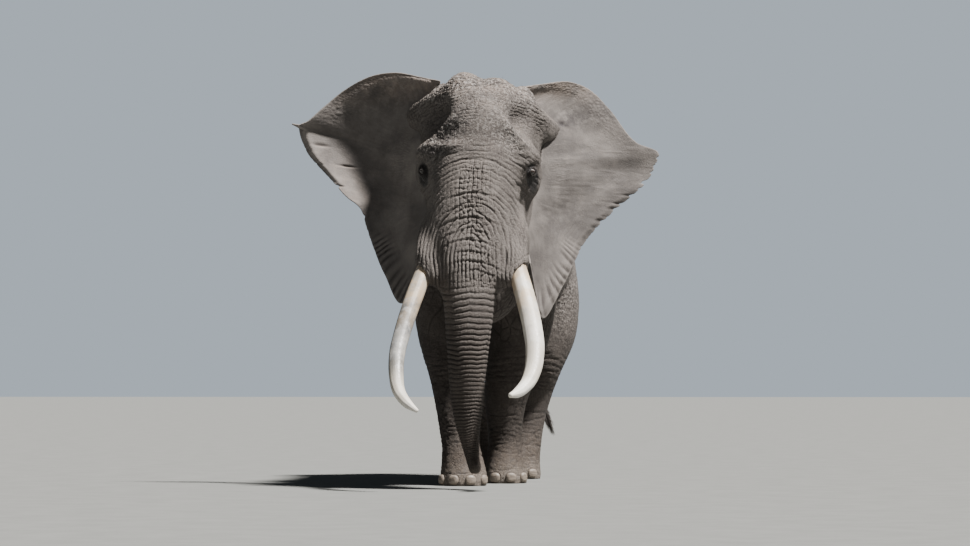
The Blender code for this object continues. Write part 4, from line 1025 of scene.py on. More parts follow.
def ear_slit(i):
    """The crease between the cheek and the ear, and the hollow where the temple's crest meets the ear."""
    p = np.abs(co[i]) * (1, -1, 1)
    top, bottom = np.array((0.543, -0.815, 2.93)), np.array((0.556, -0.735, 2.70))
    w = bottom - top
    t = (p - top) @ w / (w @ w)
    d = np.linalg.norm(p - top - np.clip(t, 0, 1)[:, None] * w, axis=1)
    h = -0.040 * np.exp(-((d / 0.017) ** 2)) * ramp(t, 0.10, 0.50) * (1 - ramp(t, 0.60, 1.15))
    lean = np.stack([p[:, 0] - 0.690, p[:, 1] + 0.50, (p[:, 2] - 3.085) + 0.45 * (p[:, 0] - 0.690)], 1)
    h += -0.009 * near(lean, (0, 0, 0), (0.050, 0.10, 0.022)) * (X[i] > 0)
    return h


height += over(np.clip(near(np.abs(co) * (1, -1, 1), (0.58, -0.70, 2.85), (0.25, 0.30, 0.45)) * 3, 0, 1), ear_slit)
log("slits")

height *= 1 - 0.9 * ramp(near(np.abs(co) * (1, -1, 1), (0.440, -0.825, 2.36), (0.075, 0.14, 0.095)), 0.2, 0.6)
# the face's creases around the eyes are laid in the eyes' own measure, further down


# ================================================================ applying the relief, then the eyes
def smooth_max(a, b, k):
    h = np.clip(0.5 + 0.5 * (a - b) / k, 0, 1)
    return b * (1 - h) + a * h + k * h * (1 - h)


def eye_frame(side):
    """Centre, outward axis, upward axis and forward axis of an eye."""
    c = np.array(EYES[side])
    s = 1 if side == "left" else -1
    out = np.array((0.60 * s, -0.80, -0.05))
    out /= np.linalg.norm(out)
    fwd = np.array((0.10 * s, -0.45, -1.0))               # towards the inner corner, which lies below and ahead
    fwd -= out * (fwd @ out)
    fwd /= np.linalg.norm(fwd)
    up = np.cross(fwd, out) * s
    if up[2] < 0:
        up = -up
    return c, out, up, fwd


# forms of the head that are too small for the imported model: only ever pressed in, or raised a little
DETAIL = [  # centre, radii, height, mirrored
    ((-0.315, -1.13, 3.13), (0.085, 0.16, 0.115), -0.060, False),      # the temple's hollow, deeper on the animal's right
    ((-0.40, -1.05, 3.02), (0.075, 0.14, 0.10), -0.040, False),
    ((0.40, -1.16, 3.10), (0.060, 0.12, 0.060), -0.034, False),
    ((0.25, -1.40, 3.00), (0.055, 0.10, 0.055), 0.012, True),
    ((0.40, -1.33, 2.855), (0.080, 0.10, 0.035), 0.016, True),         # shelf of the brow
    ((0.42, -1.32, 2.745), (0.090, 0.10, 0.032), -0.018, True),        # and the groove under it
    ((0.56, -0.80, 2.80), (0.045, 0.10, 0.16), -0.030, True),
    ((0.40, -1.36, 2.50), (0.10, 0.10, 0.045), -0.016, True),
    ((0.0, -1.60, 2.74), (0.13, 0.12, 0.05), -0.010, False),
    ((-0.24, -1.50, 2.845), (0.17, 0.14, 0.045), 0.028, False),        # lit shelf over the right eye
    ((-0.26, -1.45, 2.985), (0.10, 0.12, 0.06), -0.022, False),
]
no = normals_of(skin)
form = np.zeros(N)
for c, r, h, both in DETAIL:
    w = near(co, c, r)
    if both:
        w = w + near(co, (-c[0],) + c[1:], r)
    form += h * w
co = co + no * (form * off_ear)[:, None]
set_points(skin, co)
no = normals_of(skin)

calm = np.ones(N)                 # the wide creases stop at the lids
lid_dark_and_painted_shade = np.zeros(N)
eye_work = {}
for side in ("left", "right"):
    c, out, up, fwd = eye_frame(side)
    d = co - c
    r = np.linalg.norm(d, axis=1)
    i = np.nonzero(r < 0.26)[0]
    a, b, z = d[i] @ fwd, d[i] @ up, d[i] @ out
    e = np.sqrt((a / 1.15) ** 2 + (b / 0.95) ** 2)
    calm[i] *= 1 - (1 - ramp(e, 0.045, 0.085))
    eye_work[side] = (i, a, b, e)
co = co + no * (height * calm)[:, None]

for side in ("left", "right"):
    c, out, up, fwd = eye_frame(side)
    i = eye_work[side][0]
    d = co[i] - c
    a, b, z = d @ fwd, d @ up, d @ out
    rho = np.sqrt(a**2 + b**2)
    R = EYE_R
    # mound of the lids over the ball: skin sits 4 mm off the ball near the opening, and runs out into the face
    ball = np.sqrt(np.clip((R + 0.0050) ** 2 - rho**2, 0, None))
    q = np.stack([a * 1.0, b * 1.0, np.full(len(a), 3.0 if side == "left" else 8.0)], 1)
    # heavy orbit: a low oval swelling, taller than wide
    swell = 0.016 * np.exp(-((a / 0.080) ** 2) - ((b - 0.030) / 0.055) ** 2)
    z = np.where(z > -0.06, z + swell * ramp(z, -0.07, -0.02), z)
    # nothing of the face stands higher than a plane that slopes away from the ball towards the nose
    wall = 0.006 - 0.20 * np.clip(-b, 0, None) - 0.10 * np.clip(a, 0, None)
    seen = np.exp(-((a / 0.075) ** 2) - ((b + 0.020) / 0.080) ** 2)
    z = np.where(z > -0.10, z - seen * np.clip(z - wall, 0, None), z)
    # cone from the ball's edge to the face
    skirt = ball.copy()
    far = rho > R * 0.62
    edge_z = math.sqrt((R + 0.005) ** 2 - (R * 0.62) ** 2)
    slope = 0.80
    skirt[far] = edge_z - slope * (rho[far] - R * 0.62) - 3.0 * (rho[far] - R * 0.62) ** 2
    z2 = smooth_max(z, skirt, 0.014)
    z2 = np.where(z < -0.055, z, z2)
    # the opening, an almond; its corners lie along fwd
    half = 0.0345
    t = np.clip(a / half, -1, 1)
    upper = 0.0235 * (1 - np.abs(t) ** 2.1) - 0.0010
    lower = -0.0225 * (1 - np.abs(t) ** 1.9) - 0.0010
    inside = np.minimum(upper - b, b - lower)                     # positive in the opening
    inside = np.where(np.abs(a) < half, inside, -np.hypot(np.maximum(np.abs(a) - half, 0), b + 0.0015))
    # creases that follow the opening, close together near the lids and wider apart farther off
    dist = -inside
    w = 0.9 * noise(q, 24, 91) * 0.004 + 0.5 * noise(q, 60, 92) * 0.003
    x = np.clip(dist + w, 0, None)
    steps_at = np.array([0.0065, 0.0125, 0.0200, 0.0290, 0.0395, 0.0515, 0.065, 0.080, 0.097])
    deep_at = np.array([0.0012, 0.0026, 0.0034, 0.0042, 0.0042, 0.0038, 0.0034, 0.0026, 0.0018])
    rings = np.zeros(len(a))
    for s_at, deep in zip(steps_at, deep_at):
        # the upper lid has fewer, deeper folds; the lower lid bags
        up_side = ramp(b, -0.01, 0.02)
        k = deep * (0.75 + 0.5 * noise(q, 9, 93 + int(s_at * 1000)))
        rings += -k * np.exp(-(((x - s_at * (1 + 0.12 * up_side)) / (0.0011 + 0.06 * s_at)) ** 2))
    rings += 0.0016 * np.exp(-((x - 0.004) / 0.0028) ** 2)         # the thick lip of the lid
    cross = cells(np.stack([np.arctan2(b, a) * 0.045, dist * 0.8, q[:, 2]], 1) + 0.002 * warp[i], 150, 99)
    fine_lines = -0.0010 * np.exp(-((cross / 0.16) ** 2)) * ramp(dist, 0.003, 0.012) * (1 - ramp(dist, 0.06, 0.10))
    z2 = z2 + (rings + fine_lines) * ramp(dist, 0.0, 0.003) * ramp(z, -0.075, -0.03)
    # the lid's margin turns in to meet the ball, and the skin behind the opening goes inside the ball
    hold = math.sqrt(1.0)
    on_ball = np.sqrt(np.clip(R**2 - rho**2, 0, None))
    turn_in = ramp(inside, -0.0022, 0.0006)
    behind = on_ball - 0.0045 - 3.0 * np.clip(inside, 0, 0.004)
    ok = (rho < R * 0.98) & (z > -0.055)
    z3 = np.where(ok, z2 * (1 - turn_in) + behind * turn_in, z2)
    reach = ramp(rho, 0.24, 0.16)
    co[i] = co[i] + out * ((z3 - d @ out) * np.where(rho < 0.16, 1.0, 1 - ramp(rho, 0.16, 0.22)))[:, None]
    # dark, moist skin round the eye
    lid_dark_and_painted_shade[i] = np.maximum(lid_dark_and_painted_shade[i], np.where(z > -0.085, 1 - ramp(dist, 0.0, 0.014), 0))
# the long dark pouch of each eye, taller than wide, runs down from the ball: a hollow pressed in, with painted shade
# laid over it
for side, (x, z, wide, tall) in {"left": (0.474, 2.585, 0.050, 0.122), "right": (-0.438, 2.615, 0.050, 0.108)}.items():
    i = np.nonzero((np.abs(co[:, 0] - x) < 0.12) & (np.abs(co[:, 2] - z) < 0.22) & (co[:, 1] < -1.05) & (co[:, 1] > -1.50))[0]
    e = np.sqrt(((co[i, 0] - x) / wide) ** 2 + ((co[i, 2] - z) / tall) ** 2) + 0.10 * noise(co[i], 14, 98)
    free = ramp(np.linalg.norm(co[i] - np.array(EYES[side]), axis=1), 0.046, 0.075)
    co[i] = co[i] - no[i] * (0.013 * (1 - ramp(e, 0.45, 1.10)) * free)[:, None]
    lid_dark_and_painted_shade[i] = np.maximum(lid_dark_and_painted_shade[i], 0.94 * (1 - ramp(e, 0.78, 1.08)))
co[:, 2] = np.maximum(co[:, 2], 0.0)
set_points(skin, co)
log("eyes")


# ================================================================ collars where tusks and nails leave the skin
def collar(points, normals, axis_at, radius_at, bump_at=0.020, wide=0.016, rise=0.010, sink=0.010):
    d = np.linalg.norm(points - axis_at, axis=1) - radius_at
    h = rise * np.exp(-(((d - bump_at) / wide) ** 2)) - sink * np.exp(-((np.minimum(d, 0.05) / 0.007) ** 2)) * (d > -0.03)
    h += -0.0035 * valley(d / 0.0155 - 0.5 + 0.3 * noise(points, 14, 57), 0.17) * np.exp(-(((d - 0.030) / 0.028) ** 2)) * (d > 0.006)
    return h


smooth_no = no.copy()
no = normals_of(skin)
for side, rows in TUSKS.items():
    f, length = along(rows)
    s = np.linspace(0.10, length * 0.5, 260)
    p = f(s)
    tree_t = KDTree(len(s))
    for k, c in enumerate(p[:, :3]):
        tree_t.insert(c, k)
    tree_t.balance()
    i = np.nonzero((np.abs(co - p[60, :3]).max(1) < 0.40) & (np.abs(co[:, 0]) > 0.12))[0]
    k = np.array([tree_t.find(c)[1] for c in co[i]])
    h = collar(co[i], no[i], p[k, :3], p[k, 3])
    free = ramp(np.linalg.norm(co[i] - p[60, :3], axis=1), 0.40, 0.30)
    co[i] = co[i] + no[i] * (h * free)[:, None]
for leg, angles in {"front_left": (-63, -22, 20, 60), "front_right": (-60, -20, 22, 63), "hind_left": (-44, -3, 38), "hind_right": (-38, 3, 44)}.items():
    x, y, z, rx, ry = LEGS[leg][-2]
    for angle in angles:
        a = math.radians(angle)
        out = np.array([math.sin(a), -math.cos(a), 0.0])
        sd = np.array([math.cos(a), math.sin(a), 0.0])
        c = np.array([x + 0.955 * rx * math.sin(a), y - 0.955 * ry * math.cos(a), 0.054])
        i = np.nonzero(np.abs(co - c).max(1) < 0.12)[0]
        d = co[i] - c
        e = np.sqrt((d @ sd / 0.047) ** 2 + (d[:, 2] / 0.042) ** 2) - 1
        w = ramp(d @ out, -0.06, -0.02)
        h = 0.0055 * np.exp(-(((e - 0.18) / 0.16) ** 2)) - 0.0030 * np.exp(-(((e + 0.0) / 0.09) ** 2))
        h[d[:, 2] < -0.02] *= 0.5
        co[i] = co[i] + out * (h * w)[:, None]
co[:, 2] = np.maximum(co[:, 2], 0.0)
set_points(skin, co)
log("collars")

# ================================================================ what the material reads
rough_no = normals_of(skin)
a, b = edges[:, 0], edges[:, 1]
count = np.bincount(a, minlength=N) + np.bincount(b, minlength=N)


def mean_of(values, rounds):
    for _ in range(rounds):
        values = 0.4 * values + 0.6 * (np.bincount(a, values[b], N) + np.bincount(b, values[a], N)) / count
    return values


soft = np.stack([mean_of(co[:, k].copy(), 6) for k in range(3)], 1)
hollow = ((soft - co) * rough_no).sum(1)                      # positive where the point lies in a furrow
hollow = np.clip(hollow / 0.0030, -1, 1)
# how deep each point lies in a furrow: the skin paints shade into the furrows from it
set_attribute(skin, "furrow", np.clip(hollow, 0, 1))
# how high each point stands on a fold's crest: the skin makes crests lighter from it
set_attribute(skin, "crest", np.clip(-hollow, 0, 1))
up_face = ramp(rough_no[:, 2], 0.15, 0.95)
dusty = up_face * ramp(co[:, 2], 1.2, 3.1)
crown = ramp(co[:, 2], 3.22, 3.44) * (co[:, 1] < -0.3)
set_attribute(skin, "dust", np.clip(0.75 * dusty + 0.80 * crown, 0, 1))
set_attribute(skin, "mud", (1 - ramp(co[:, 2] + 0.08 * noise(co, 4, 120), 0.08, 0.60)))
# dark lid skin round each opening, and painted shade down each eye's pouch
set_attribute(skin, "lid", lid_dark_and_painted_shade)
set_attribute(skin, "ear", np.clip(ear_u, 0, 1))
set_attribute(skin, "edge", ramp(ear_u - 1, 0.93, 1.0))
damp = np.zeros(N)
for side, s in (("left", 1), ("right", -1)):                  # streak of the temple gland
    damp = np.maximum(damp, near(co, (0.50 * s, -1.00, 2.66), (0.05, 0.10, 0.14)))
set_attribute(skin, "damp", damp * off_ear)
# dark patches: painted shade in both temple hollows, in the hollow where the left crest meets the ear, and low on the
# inner left ear; elsewhere darker over the right brow and along the top of the ears
painted_shade_and_blotch = 0.75 * near(co, (-0.22, -1.42, 3.06), (0.12, 0.25, 0.20)) + 0.8 * near(co, (-0.34, -1.34, 2.80), (0.13, 0.2, 0.05))      # darker over the right brow
painted_shade_and_blotch += 0.5 * near(co, (0.30, -1.25, 3.10), (0.08, 0.2, 0.07)) + 0.45 * near(co, (-0.80, -0.40, 3.36), (0.55, 0.3, 0.16)) * (co[:, 0] < 0)
painted_shade_and_blotch += 0.6 * near(co, (0.78, -0.45, 3.13), (0.22, 0.25, 0.11)) + 0.30 * near(co, (1.05, -0.35, 3.20), (0.35, 0.3, 0.16))
painted_shade_and_blotch += 0.45 * near(co, (0.64, -0.50, 2.35), (0.14, 0.3, 0.28)) * (ear_u > 0.5)
painted_shade_and_blotch += 1.5 * near(co, (0.700, -0.50, 3.085), (0.030, 0.12, 0.020)) + 0.8 * near(co, (-0.42, -1.02, 3.07), (0.10, 0.15, 0.10))
set_attribute(skin, "painted_shade_and_blotch", np.clip(painted_shade_and_blotch, 0, 1))
set_attribute(skin, "speck", np.clip(1.1 * rough * off_ear + 0.10 * head + 0.65 * np.clip(flank, 0, 1) * off_ear, 0, 0.95))
set_attribute(skin, "low", (1 - ramp(co[:, 2], 0.9, 2.2)) * off_ear * ramp(co[:, 2], 0.0, 0.25))       # darker legs and belly: partly damp mud, partly painted shade under the body
log("attributes")


# ================================================================ skin laid in planar charts, for the bake
REGIONS = {"head": 1, "trunk": 2, "torso": 3, "leg_front_left": 4, "leg_front_right": 5, "leg_hind_left": 6, "leg_hind_right": 7,
           "tail": 8, "ear_left_front": 9, "ear_left_back": 10, "ear_right_front": 11, "ear_right_back": 12}


def regions_of(co, ear_u, ear_back):
    r = np.full(len(co), REGIONS["torso"], np.int32)
    x, y, z = co.T
    r[(y < -0.62) & (z > 1.5)] = REGIONS["head"]
    r[(y < -1.25) & (z < 1.72)] = REGIONS["trunk"]
    for leg, s, f in (("front_left", 1, 1), ("front_right", -1, 1), ("hind_left", 1, 0), ("hind_right", -1, 0)):
        r[(z < 1.45) & (x * s > 0) & ((y < 1.05) if f else (y >= 1.05)) & (y > -1.2)] = REGIONS["leg_" + leg]
    r[(y > 2.45) & (z < 2.45)] = REGIONS["tail"]
    on = ear_u > 0.5
    for side, s in (("left", 1), ("right", -1)):
        r[on & (x * s > 0) & (ear_back < 0.5)] = REGIONS["ear_%s_front" % side]
        r[on & (x * s > 0) & (ear_back >= 0.5)] = REGIONS["ear_%s_back" % side]
    return r


def bake_map(obj, co, no, region):
    """Lays the faces of each region, split by the way they face, side by side in one map."""
    me = obj.data
    nf = len(me.polygons)
    start = np.zeros(nf, np.int32)
    me.polygons.foreach_get("loop_start", start)
    count = np.zeros(nf, np.int32)
    me.polygons.foreach_get("loop_total", count)
    vert = np.zeros(len(me.loops), np.int32)
    me.loops.foreach_get("vertex_index", vert)
    face = np.repeat(np.arange(nf), count)
    n = np.stack([np.bincount(face, no[vert, k], nf) for k in range(3)], 1)
    first = vert[start]
    reg = region[first]
    score = np.stack([n[:, 0], -n[:, 0], n[:, 1], -n[:, 1], n[:, 2] * 0.85, -n[:, 2] * 0.85], 1)
    ears = reg >= REGIONS["ear_left_front"]
    way = score.argmax(1)
    way[ears & (reg % 2 == 1)] = 3
    way[ears & (reg % 2 == 0)] = 2
    chart = reg * 6 + way
    axes = {0: (1, 2, 1), 1: (1, 2, -1), 2: (0, 2, -1), 3: (0, 2, 1), 4: (0, 1, 1), 5: (0, 1, -1)}
    uv = np.zeros((len(vert), 2))
    boxes = []
    loop_chart = chart[face]
    for c in np.unique(chart):
        a, b, s = axes[c % 6]
        pick = loop_chart == c
        p = np.stack([co[vert[pick], a] * s, co[vert[pick], b]], 1)
        if c // 6 == REGIONS["head"]:
            p *= 1.7
        lo = p.min(0)
        uv[pick] = p - lo
        w, h = p.max(0) - lo
        boxes.append([h, w, c, pick])
    boxes.sort(key=lambda t: -t[0])
    gap = 0.03
    total = sum((h + gap) * (w + gap) for h, w, _, _ in boxes)
    width = math.sqrt(total) * 1.12
    x = y = row = 0.0
    for h, w, c, pick in boxes:
        if x + w + gap > width:
            x, y, row = 0.0, y + row, 0.0
        uv[pick] += (x + gap / 2, y + gap / 2)
        x += w + gap
        row = max(row, h + gap)
    size = max(width, y + row)
    uv /= size
    layer = me.uv_layers.new(name="OFBake")
    layer.data.foreach_set("uv", uv.astype(np.float32).ravel())
    at_vertex = np.zeros((len(co), 2))
    at_vertex[vert] = uv
    return at_vertex, 1.0 / size


ear_back = attribute(skin, "ear_back")
skin_uv, uv_scale = bake_map(skin, co, smooth_no, regions_of(co, ear_u, ear_back))
log("bake map")


# ================================================================ hair: thin solid strands
def strands(name, roots, ways, lengths, radius, bend, segments=5, sides=3, uv=None, curl=None):
    """Tapered tubes from each root; bend is added to the direction as the strand goes on."""
    n = len(roots)
    t = np.linspace(0, 1, segments + 1)
    ways = ways / np.linalg.norm(ways, axis=1)[:, None]
    line = roots[:, None] + ways[:, None] * (lengths[:, None] * t)[..., None] + bend[:, None] * (lengths[:, None] * t**2)[..., None]
    if curl is not None:
        line = line + curl[:, None] * (lengths[:, None] * np.sin(t * 5.0) * t)[..., None]
    d = np.gradient(line, axis=1)
    d /= np.linalg.norm(d, axis=2)[..., None]
    ref = np.where(np.abs(d[..., 2:3]) < 0.9, np.array((0, 0, 1.0)), np.array((1.0, 0, 0)))
    e = np.cross(d, ref)
    e /= np.linalg.norm(e, axis=2)[..., None]
    f = np.cross(d, e)
    a = np.arange(sides) * 2 * math.pi / sides
    r = np.asarray(radius).reshape(-1, 1) * (1 - 0.80 * t**1.5)
    ring = line[:, :, None] + r[..., None, None] * (e[:, :, None] * np.cos(a)[:, None] + f[:, :, None] * np.sin(a)[:, None])
    per = (segments + 1) * sides
    verts = np.concatenate([ring.reshape(n, per, 3), line[:, :1], line[:, -1:] + d[:, -1:] * r[:, -1:, None] * 3], 1)
    quads = []
    for s in range(segments):
        for k in range(sides):
            quads.append((s * sides + k, s * sides + (k + 1) % sides, (s + 1) * sides + (k + 1) % sides, (s + 1) * sides + k))
    tris = []
    for k in range(sides):
        tris.append((per, (k + 1) % sides, k))
        tris.append((per + 1, segments * sides + k, segments * sides + (k + 1) % sides))
    m = per + 2
    faces = [tuple(v + i * m for v in q) for i in range(n) for q in quads + tris]
    obj = mesh_object(name, verts.reshape(-1, 3), faces)
    facing_out(obj)
    if uv is not None:
        me = obj.data
        vert = np.zeros(len(me.loops), np.int32)
        me.loops.foreach_get("vertex_index", vert)
        who, which = vert // m, vert % m
        level = np.where(which < per, which // sides, np.where(which == per, 0, segments)) / segments
        turn_ = np.where(which < per, which % sides, 0) / sides
        patch_uv = uv[who] + np.stack([(turn_ - 0.33), (level - 0.5)], 1) * 0.003
        layer = me.uv_layers.new(name="OFBake")
        layer.data.foreach_set("uv", np.clip(patch_uv, 0, 1).astype(np.float32).ravel())
    return obj


RNG = np.random.RandomState(5)
surface = KDTree(N)
for k in range(0, N):
    surface.insert(co[k], k)
surface.balance()
log("surface tree")
no = normals_of(skin)


def nearest(points):
    return np.array([surface.find(p)[1] for p in points])


# tail tuft: coarse hairs in two rows, down the front and the back of the tail's end
line_t, length_t = along(TAIL)
tuft_line = smooth_line([(0.0, 0.318, 2.781, 0.735, 0.021)] + [(0.30, 0.345, 2.774, 0.655, 0.018), (0.6, 0.375, 2.765, 0.570, 0.038), (0.8, 0.408, 2.755, 0.480, 0.040), (1.0, 0.443, 2.740, 0.388, 0.010)])
n_tuft = 620
s0 = RNG.rand(n_tuft) ** 1.3 * 0.50
c0 = tuft_line(s0)
edge_row = np.where(RNG.rand(n_tuft) < 0.5, 0.0, math.pi) + RNG.normal(0, 0.75, n_tuft)
side_dir = np.array((0.93, 0.0, 0.33))
deep_dir = np.array((0.0, 1.0, 0.1))
rad0 = c0[:, 3] * 0.55 * (1 - 0.3 * s0)
roots = c0[:, :3] + rad0[:, None] * (np.cos(edge_row)[:, None] * side_dir + np.sin(edge_row)[:, None] * deep_dir)
s1 = np.clip(s0 + 0.34 + 0.30 * RNG.rand(n_tuft), 0, 1.0)
c1 = tuft_line(s1)
aim = c1[:, :3] + c1[:, 3:4] * 0.80 * RNG.rand(n_tuft, 1) ** 0.5 * (np.cos(edge_row)[:, None] * side_dir + np.sin(edge_row)[:, None] * deep_dir)
way = aim - roots
len_t = np.linalg.norm(way, axis=1)
bend_t = RNG.normal(0, 0.05, (n_tuft, 3)) * (1, 1, 0.3)
near_tail = nearest(roots)
tuft = strands("tail_hair", roots, way, len_t, 0.0014 + 0.0009 * RNG.rand(n_tuft), bend_t, 6, 4, skin_uv[near_tail], RNG.normal(0, 0.02, (n_tuft, 3)))

# lashes
parts_r, parts_w, parts_l, parts_b, parts_d = [], [], [], [], []
for side in ("left", "right"):
    c, out, up, fwd = eye_frame(side)
    for lid, count_l, sign in (("upper", 34, 1), ("lower", 18, -1)):
        u = np.linspace(-0.88, 0.88, count_l) + RNG.normal(0, 0.02, count_l)
        a = u * 0.0330
        b = (0.0225 * (1 - np.abs(u) ** 2.1) - 0.0010) if sign > 0 else (-0.0215 * (1 - np.abs(u) ** 1.9) - 0.0010)
        b = b + sign * 0.0022
        z = np.sqrt(np.clip((EYE_R + 0.0035) ** 2 - a**2 - b**2, 1e-6, None))
        parts_r.append(c + a[:, None] * fwd + b[:, None] * up + z[:, None] * out)
        droop = -0.55 if sign > 0 else -0.75
        parts_w.append(out * 1.0 + up * (droop + RNG.normal(0, 0.10, count_l))[:, None] + fwd * (0.55 * u + RNG.normal(0, 0.12, count_l))[:, None])
        parts_l.append((0.030 if sign > 0 else 0.016) * (0.75 + 0.5 * RNG.rand(count_l)))
        parts_b.append(np.tile(up * (-0.10), (count_l, 1)) + RNG.normal(0, 0.05, (count_l, 3)))
        parts_d.append(np.full(count_l, 0.00055))
lash_r, lash_w, lash_l, lash_b, lash_d = [np.concatenate(q) for q in (parts_r, parts_w, parts_l, parts_b, parts_d)]
lash = strands("eye_lashes", lash_r, lash_w, lash_l, lash_d, lash_b, 5, 3, skin_uv[nearest(lash_r)])

# sparse bristles: chin and lower lip, forehead and crown, front of the trunk, back, tail
want = (2.2 * near(np.abs(co) * (1, -1, 1), (0.08, -1.12, 1.76), (0.16, 0.20, 0.14)) + 0.9 * ramp(co[:, 2], 3.0, 3.4) * (co[:, 1] < -0.5)
        + 0.35 * (trunk > 0.5) * (co[:, 1] < -1.5) + 0.10 * ramp(co[:, 2], 2.7, 3.0) * (co[:, 1] > -0.4)
        + 0.9 * ((co[:, 1] > 2.60) & (co[:, 2] < 2.3)) + 0.03 + 0.35 * near(np.abs(co) * (1, -1, 1), (0.30, -1.35, 2.95), (0.20, 0.25, 0.30)))
want *= off_ear
area = np.ones(N)
area[(co[:, 1] < -0.86) & (co[:, 2] > 1.62)] = 0.25
area[calm < 0.999] = 0.0
want = np.where(co[:, 2] < 0.12, 0, want * area)
pick = RNG.choice(N, 2600, replace=False, p=want / want.sum())
b_r = co[pick] - no[pick] * 0.001
down = np.array((0, 0.15, -1.0))
lie = down - no[pick] * (no[pick] @ down)[:, None]
b_w = no[pick] * 0.8 + lie * 0.9 + RNG.normal(0, 0.22, (len(pick), 3))
chin = near(np.abs(b_r) * (1, -1, 1), (0.08, -1.12, 1.76), (0.16, 0.20, 0.14))
b_l = (0.011 + 0.012 * RNG.rand(len(pick))) * (1 + 1.8 * chin)
b_l *= np.where((b_r[:, 1] > 2.6) & (b_r[:, 2] < 2.3), 1.8, 1.0)
bristles = strands("bristles", b_r, b_w, b_l, np.full(len(pick), 0.00055), lie * 0.25 + RNG.normal(0, 0.05, (len(pick), 3)), 3, 3, skin_uv[pick])
log("hair")


# ================================================================ tusks
def fine_tusk(side):
    rows = TUSKS[side]
    ring, step = 84, 0.011
    f, length = along(rows)
    s = np.linspace(0, length, int(length / step))
    p = f(s)
    c, r = p[:, :3], p[:, 3]
    t = np.gradient(c, axis=0)
    t /= np.linalg.norm(t, axis=1)[:, None]
    e = np.array((1.0, 0, 0)) - t * t[:, :1]
    e /= np.linalg.norm(e, axis=1)[:, None]
    b = np.cross(t, e)
    a = np.arange(ring) * 2 * math.pi / ring
    # the tip wears to a blunt, slightly flattened end
    end = ramp(s, length - 0.10, length)
    r = r * (1 - 0.10 * end)
    q = np.stack([np.broadcast_to(np.cos(a), (len(s), ring)), np.broadcast_to(np.sin(a), (len(s), ring)), np.broadcast_to(s[:, None], (len(s), ring))], -1).reshape(-1, 3)
    # long shallow flutes, faint growth rings, scrapes near the tip
    g = 0.0016 * noise(q, (2.2, 2.2, 0.9), 101) + 0.0006 * noise(q, (7, 7, 1.4), 102) + 0.00022 * noise(q, (18, 18, 3.0), 103)
    g += 0.0004 * noise(q, (0.8, 0.8, 38), 104)
    g += -0.0009 * np.exp(-((noise(q, (3.2, 3.2, 1.3), 105) / 0.025) ** 2)) * (noise(q, 3.0, 106) > 0.05)
    g = g.reshape(len(s), ring) * np.minimum(1, r / 0.04)[:, None]
    flat = -0.05 * r[:, None] * np.clip(np.cos(a - 2.2), 0, 1)[None] ** 2 * end[:, None]
    rr = r[:, None] + g + flat
    rings = c[:, None] + e[:, None] * (rr * np.cos(a))[..., None] + b[:, None] * (rr * np.sin(a))[..., None]
    # round nose on the tip instead of a flat end
    cap = []
    for k in range(1, 9):
        w = math.sin(k / 9 * math.pi / 2)
        cap.append(c[-1] + t[-1] * r[-1] * 0.75 * w + (rings[-1] - c[-1]) * math.sqrt(1 - w * w))
    rings = np.concatenate([rings, np.array(cap)], 0)
    v, fcs = closed_loft(rings)
    v[-1] = c[-1] + t[-1] * r[-1] * 0.75
    obj = mesh_object("tusk_%s_ivory" % side, v, fcs)
    facing_out(obj)
    along_value = np.concatenate([np.repeat(s, ring), np.full(8 * ring, length), [0, length]])
    set_attribute(obj, "along", along_value)
    # most of the animal's right tusk is marked for dark bluish grey: partly staining, partly a painted shadow of the
    # head
    stain_and_painted_shadow = np.interp(along_value, [0.45, 0.70, 1.35, 1.60], [0.7, 1.0, 0.9, 0.15] if side == "right" else [0.2, 0.20, 0.25, 0.05])
    set_attribute(obj, "stain_and_painted_shadow", stain_and_painted_shadow)
    return obj


tusks = {side: fine_tusk(side) for side in ("left", "right")}
log("tusks")

# ================================================================ toenails
NAIL_SIZE = (0.047, 0.026, 0.042)     # half width, half depth, half height
NAIL_ANGLES = {"front_left": (-63, -22, 20, 60), "front_right": (-60, -20, 22, 63), "hind_left": (-44, -3, 38), "hind_right": (-38, 3, 44)}


def fine_nail(leg, i, angle):
    x, y, z, rx, ry = LEGS[leg][-2]
    a = math.radians(angle)
    out = np.array([math.sin(a), -math.cos(a), 0.0])
    side = np.array([math.cos(a), math.sin(a), 0.0])
    v, f = ellipsoid((0, 0, 0), (1, 1, 1), 56)
    n = np.sign(v) * np.abs(v) ** np.array((0.80, 1.0, 0.74))        # squarer than an oval
    n /= np.maximum(1.0, np.linalg.norm(n * (1, 0, 1), axis=1) / 1.10)[:, None]
    n = np.clip(n, -1, 1)
    seed = 110 + i + 7 * list(NAIL_ANGLES).index(leg)
    q = n * NAIL_SIZE
    wide = 1 - 0.10 * ramp(n[:, 2], 0.0, 1.0)                        # narrower at the top
    p = q * np.stack([wide, np.ones(len(q)), np.ones(len(q))], 1)
    front = n[:, 1] > 0
    p[:, 1] += front * (0.0011 * noise(q, (150, 20, 22), seed) + 0.0012 * noise(q, (25, 20, 90), seed + 1) - 0.0016 * np.exp(-((noise(q, (60, 20, 14), seed + 2) / 0.05) ** 2)))
    p[:, 1] += front * 0.0030 * ramp(-n[:, 2], 0.2, 0.9)             # the worn lower edge stands out a little
    p[:, 2] += 0.0016 * noise(q, (45, 10, 5), seed + 3) * (n[:, 2] < -0.3)
    centre = np.array([x + 0.955 * rx * math.sin(a), y - 0.955 * ry * math.cos(a), 0.054])
    w = centre + p[:, :1] * side + p[:, 1:2] * out + p[:, 2:] * np.array([0, 0, 1.0])
    obj = mesh_object("nail_%s_%d" % (leg, i + 1), w, f)
    facing_out(obj)
    return obj, centre, out, side


nails = []
for leg, angles in NAIL_ANGLES.items():
    for i, angle in enumerate(angles):
        nails.append((leg, i) + fine_nail(leg, i, angle))

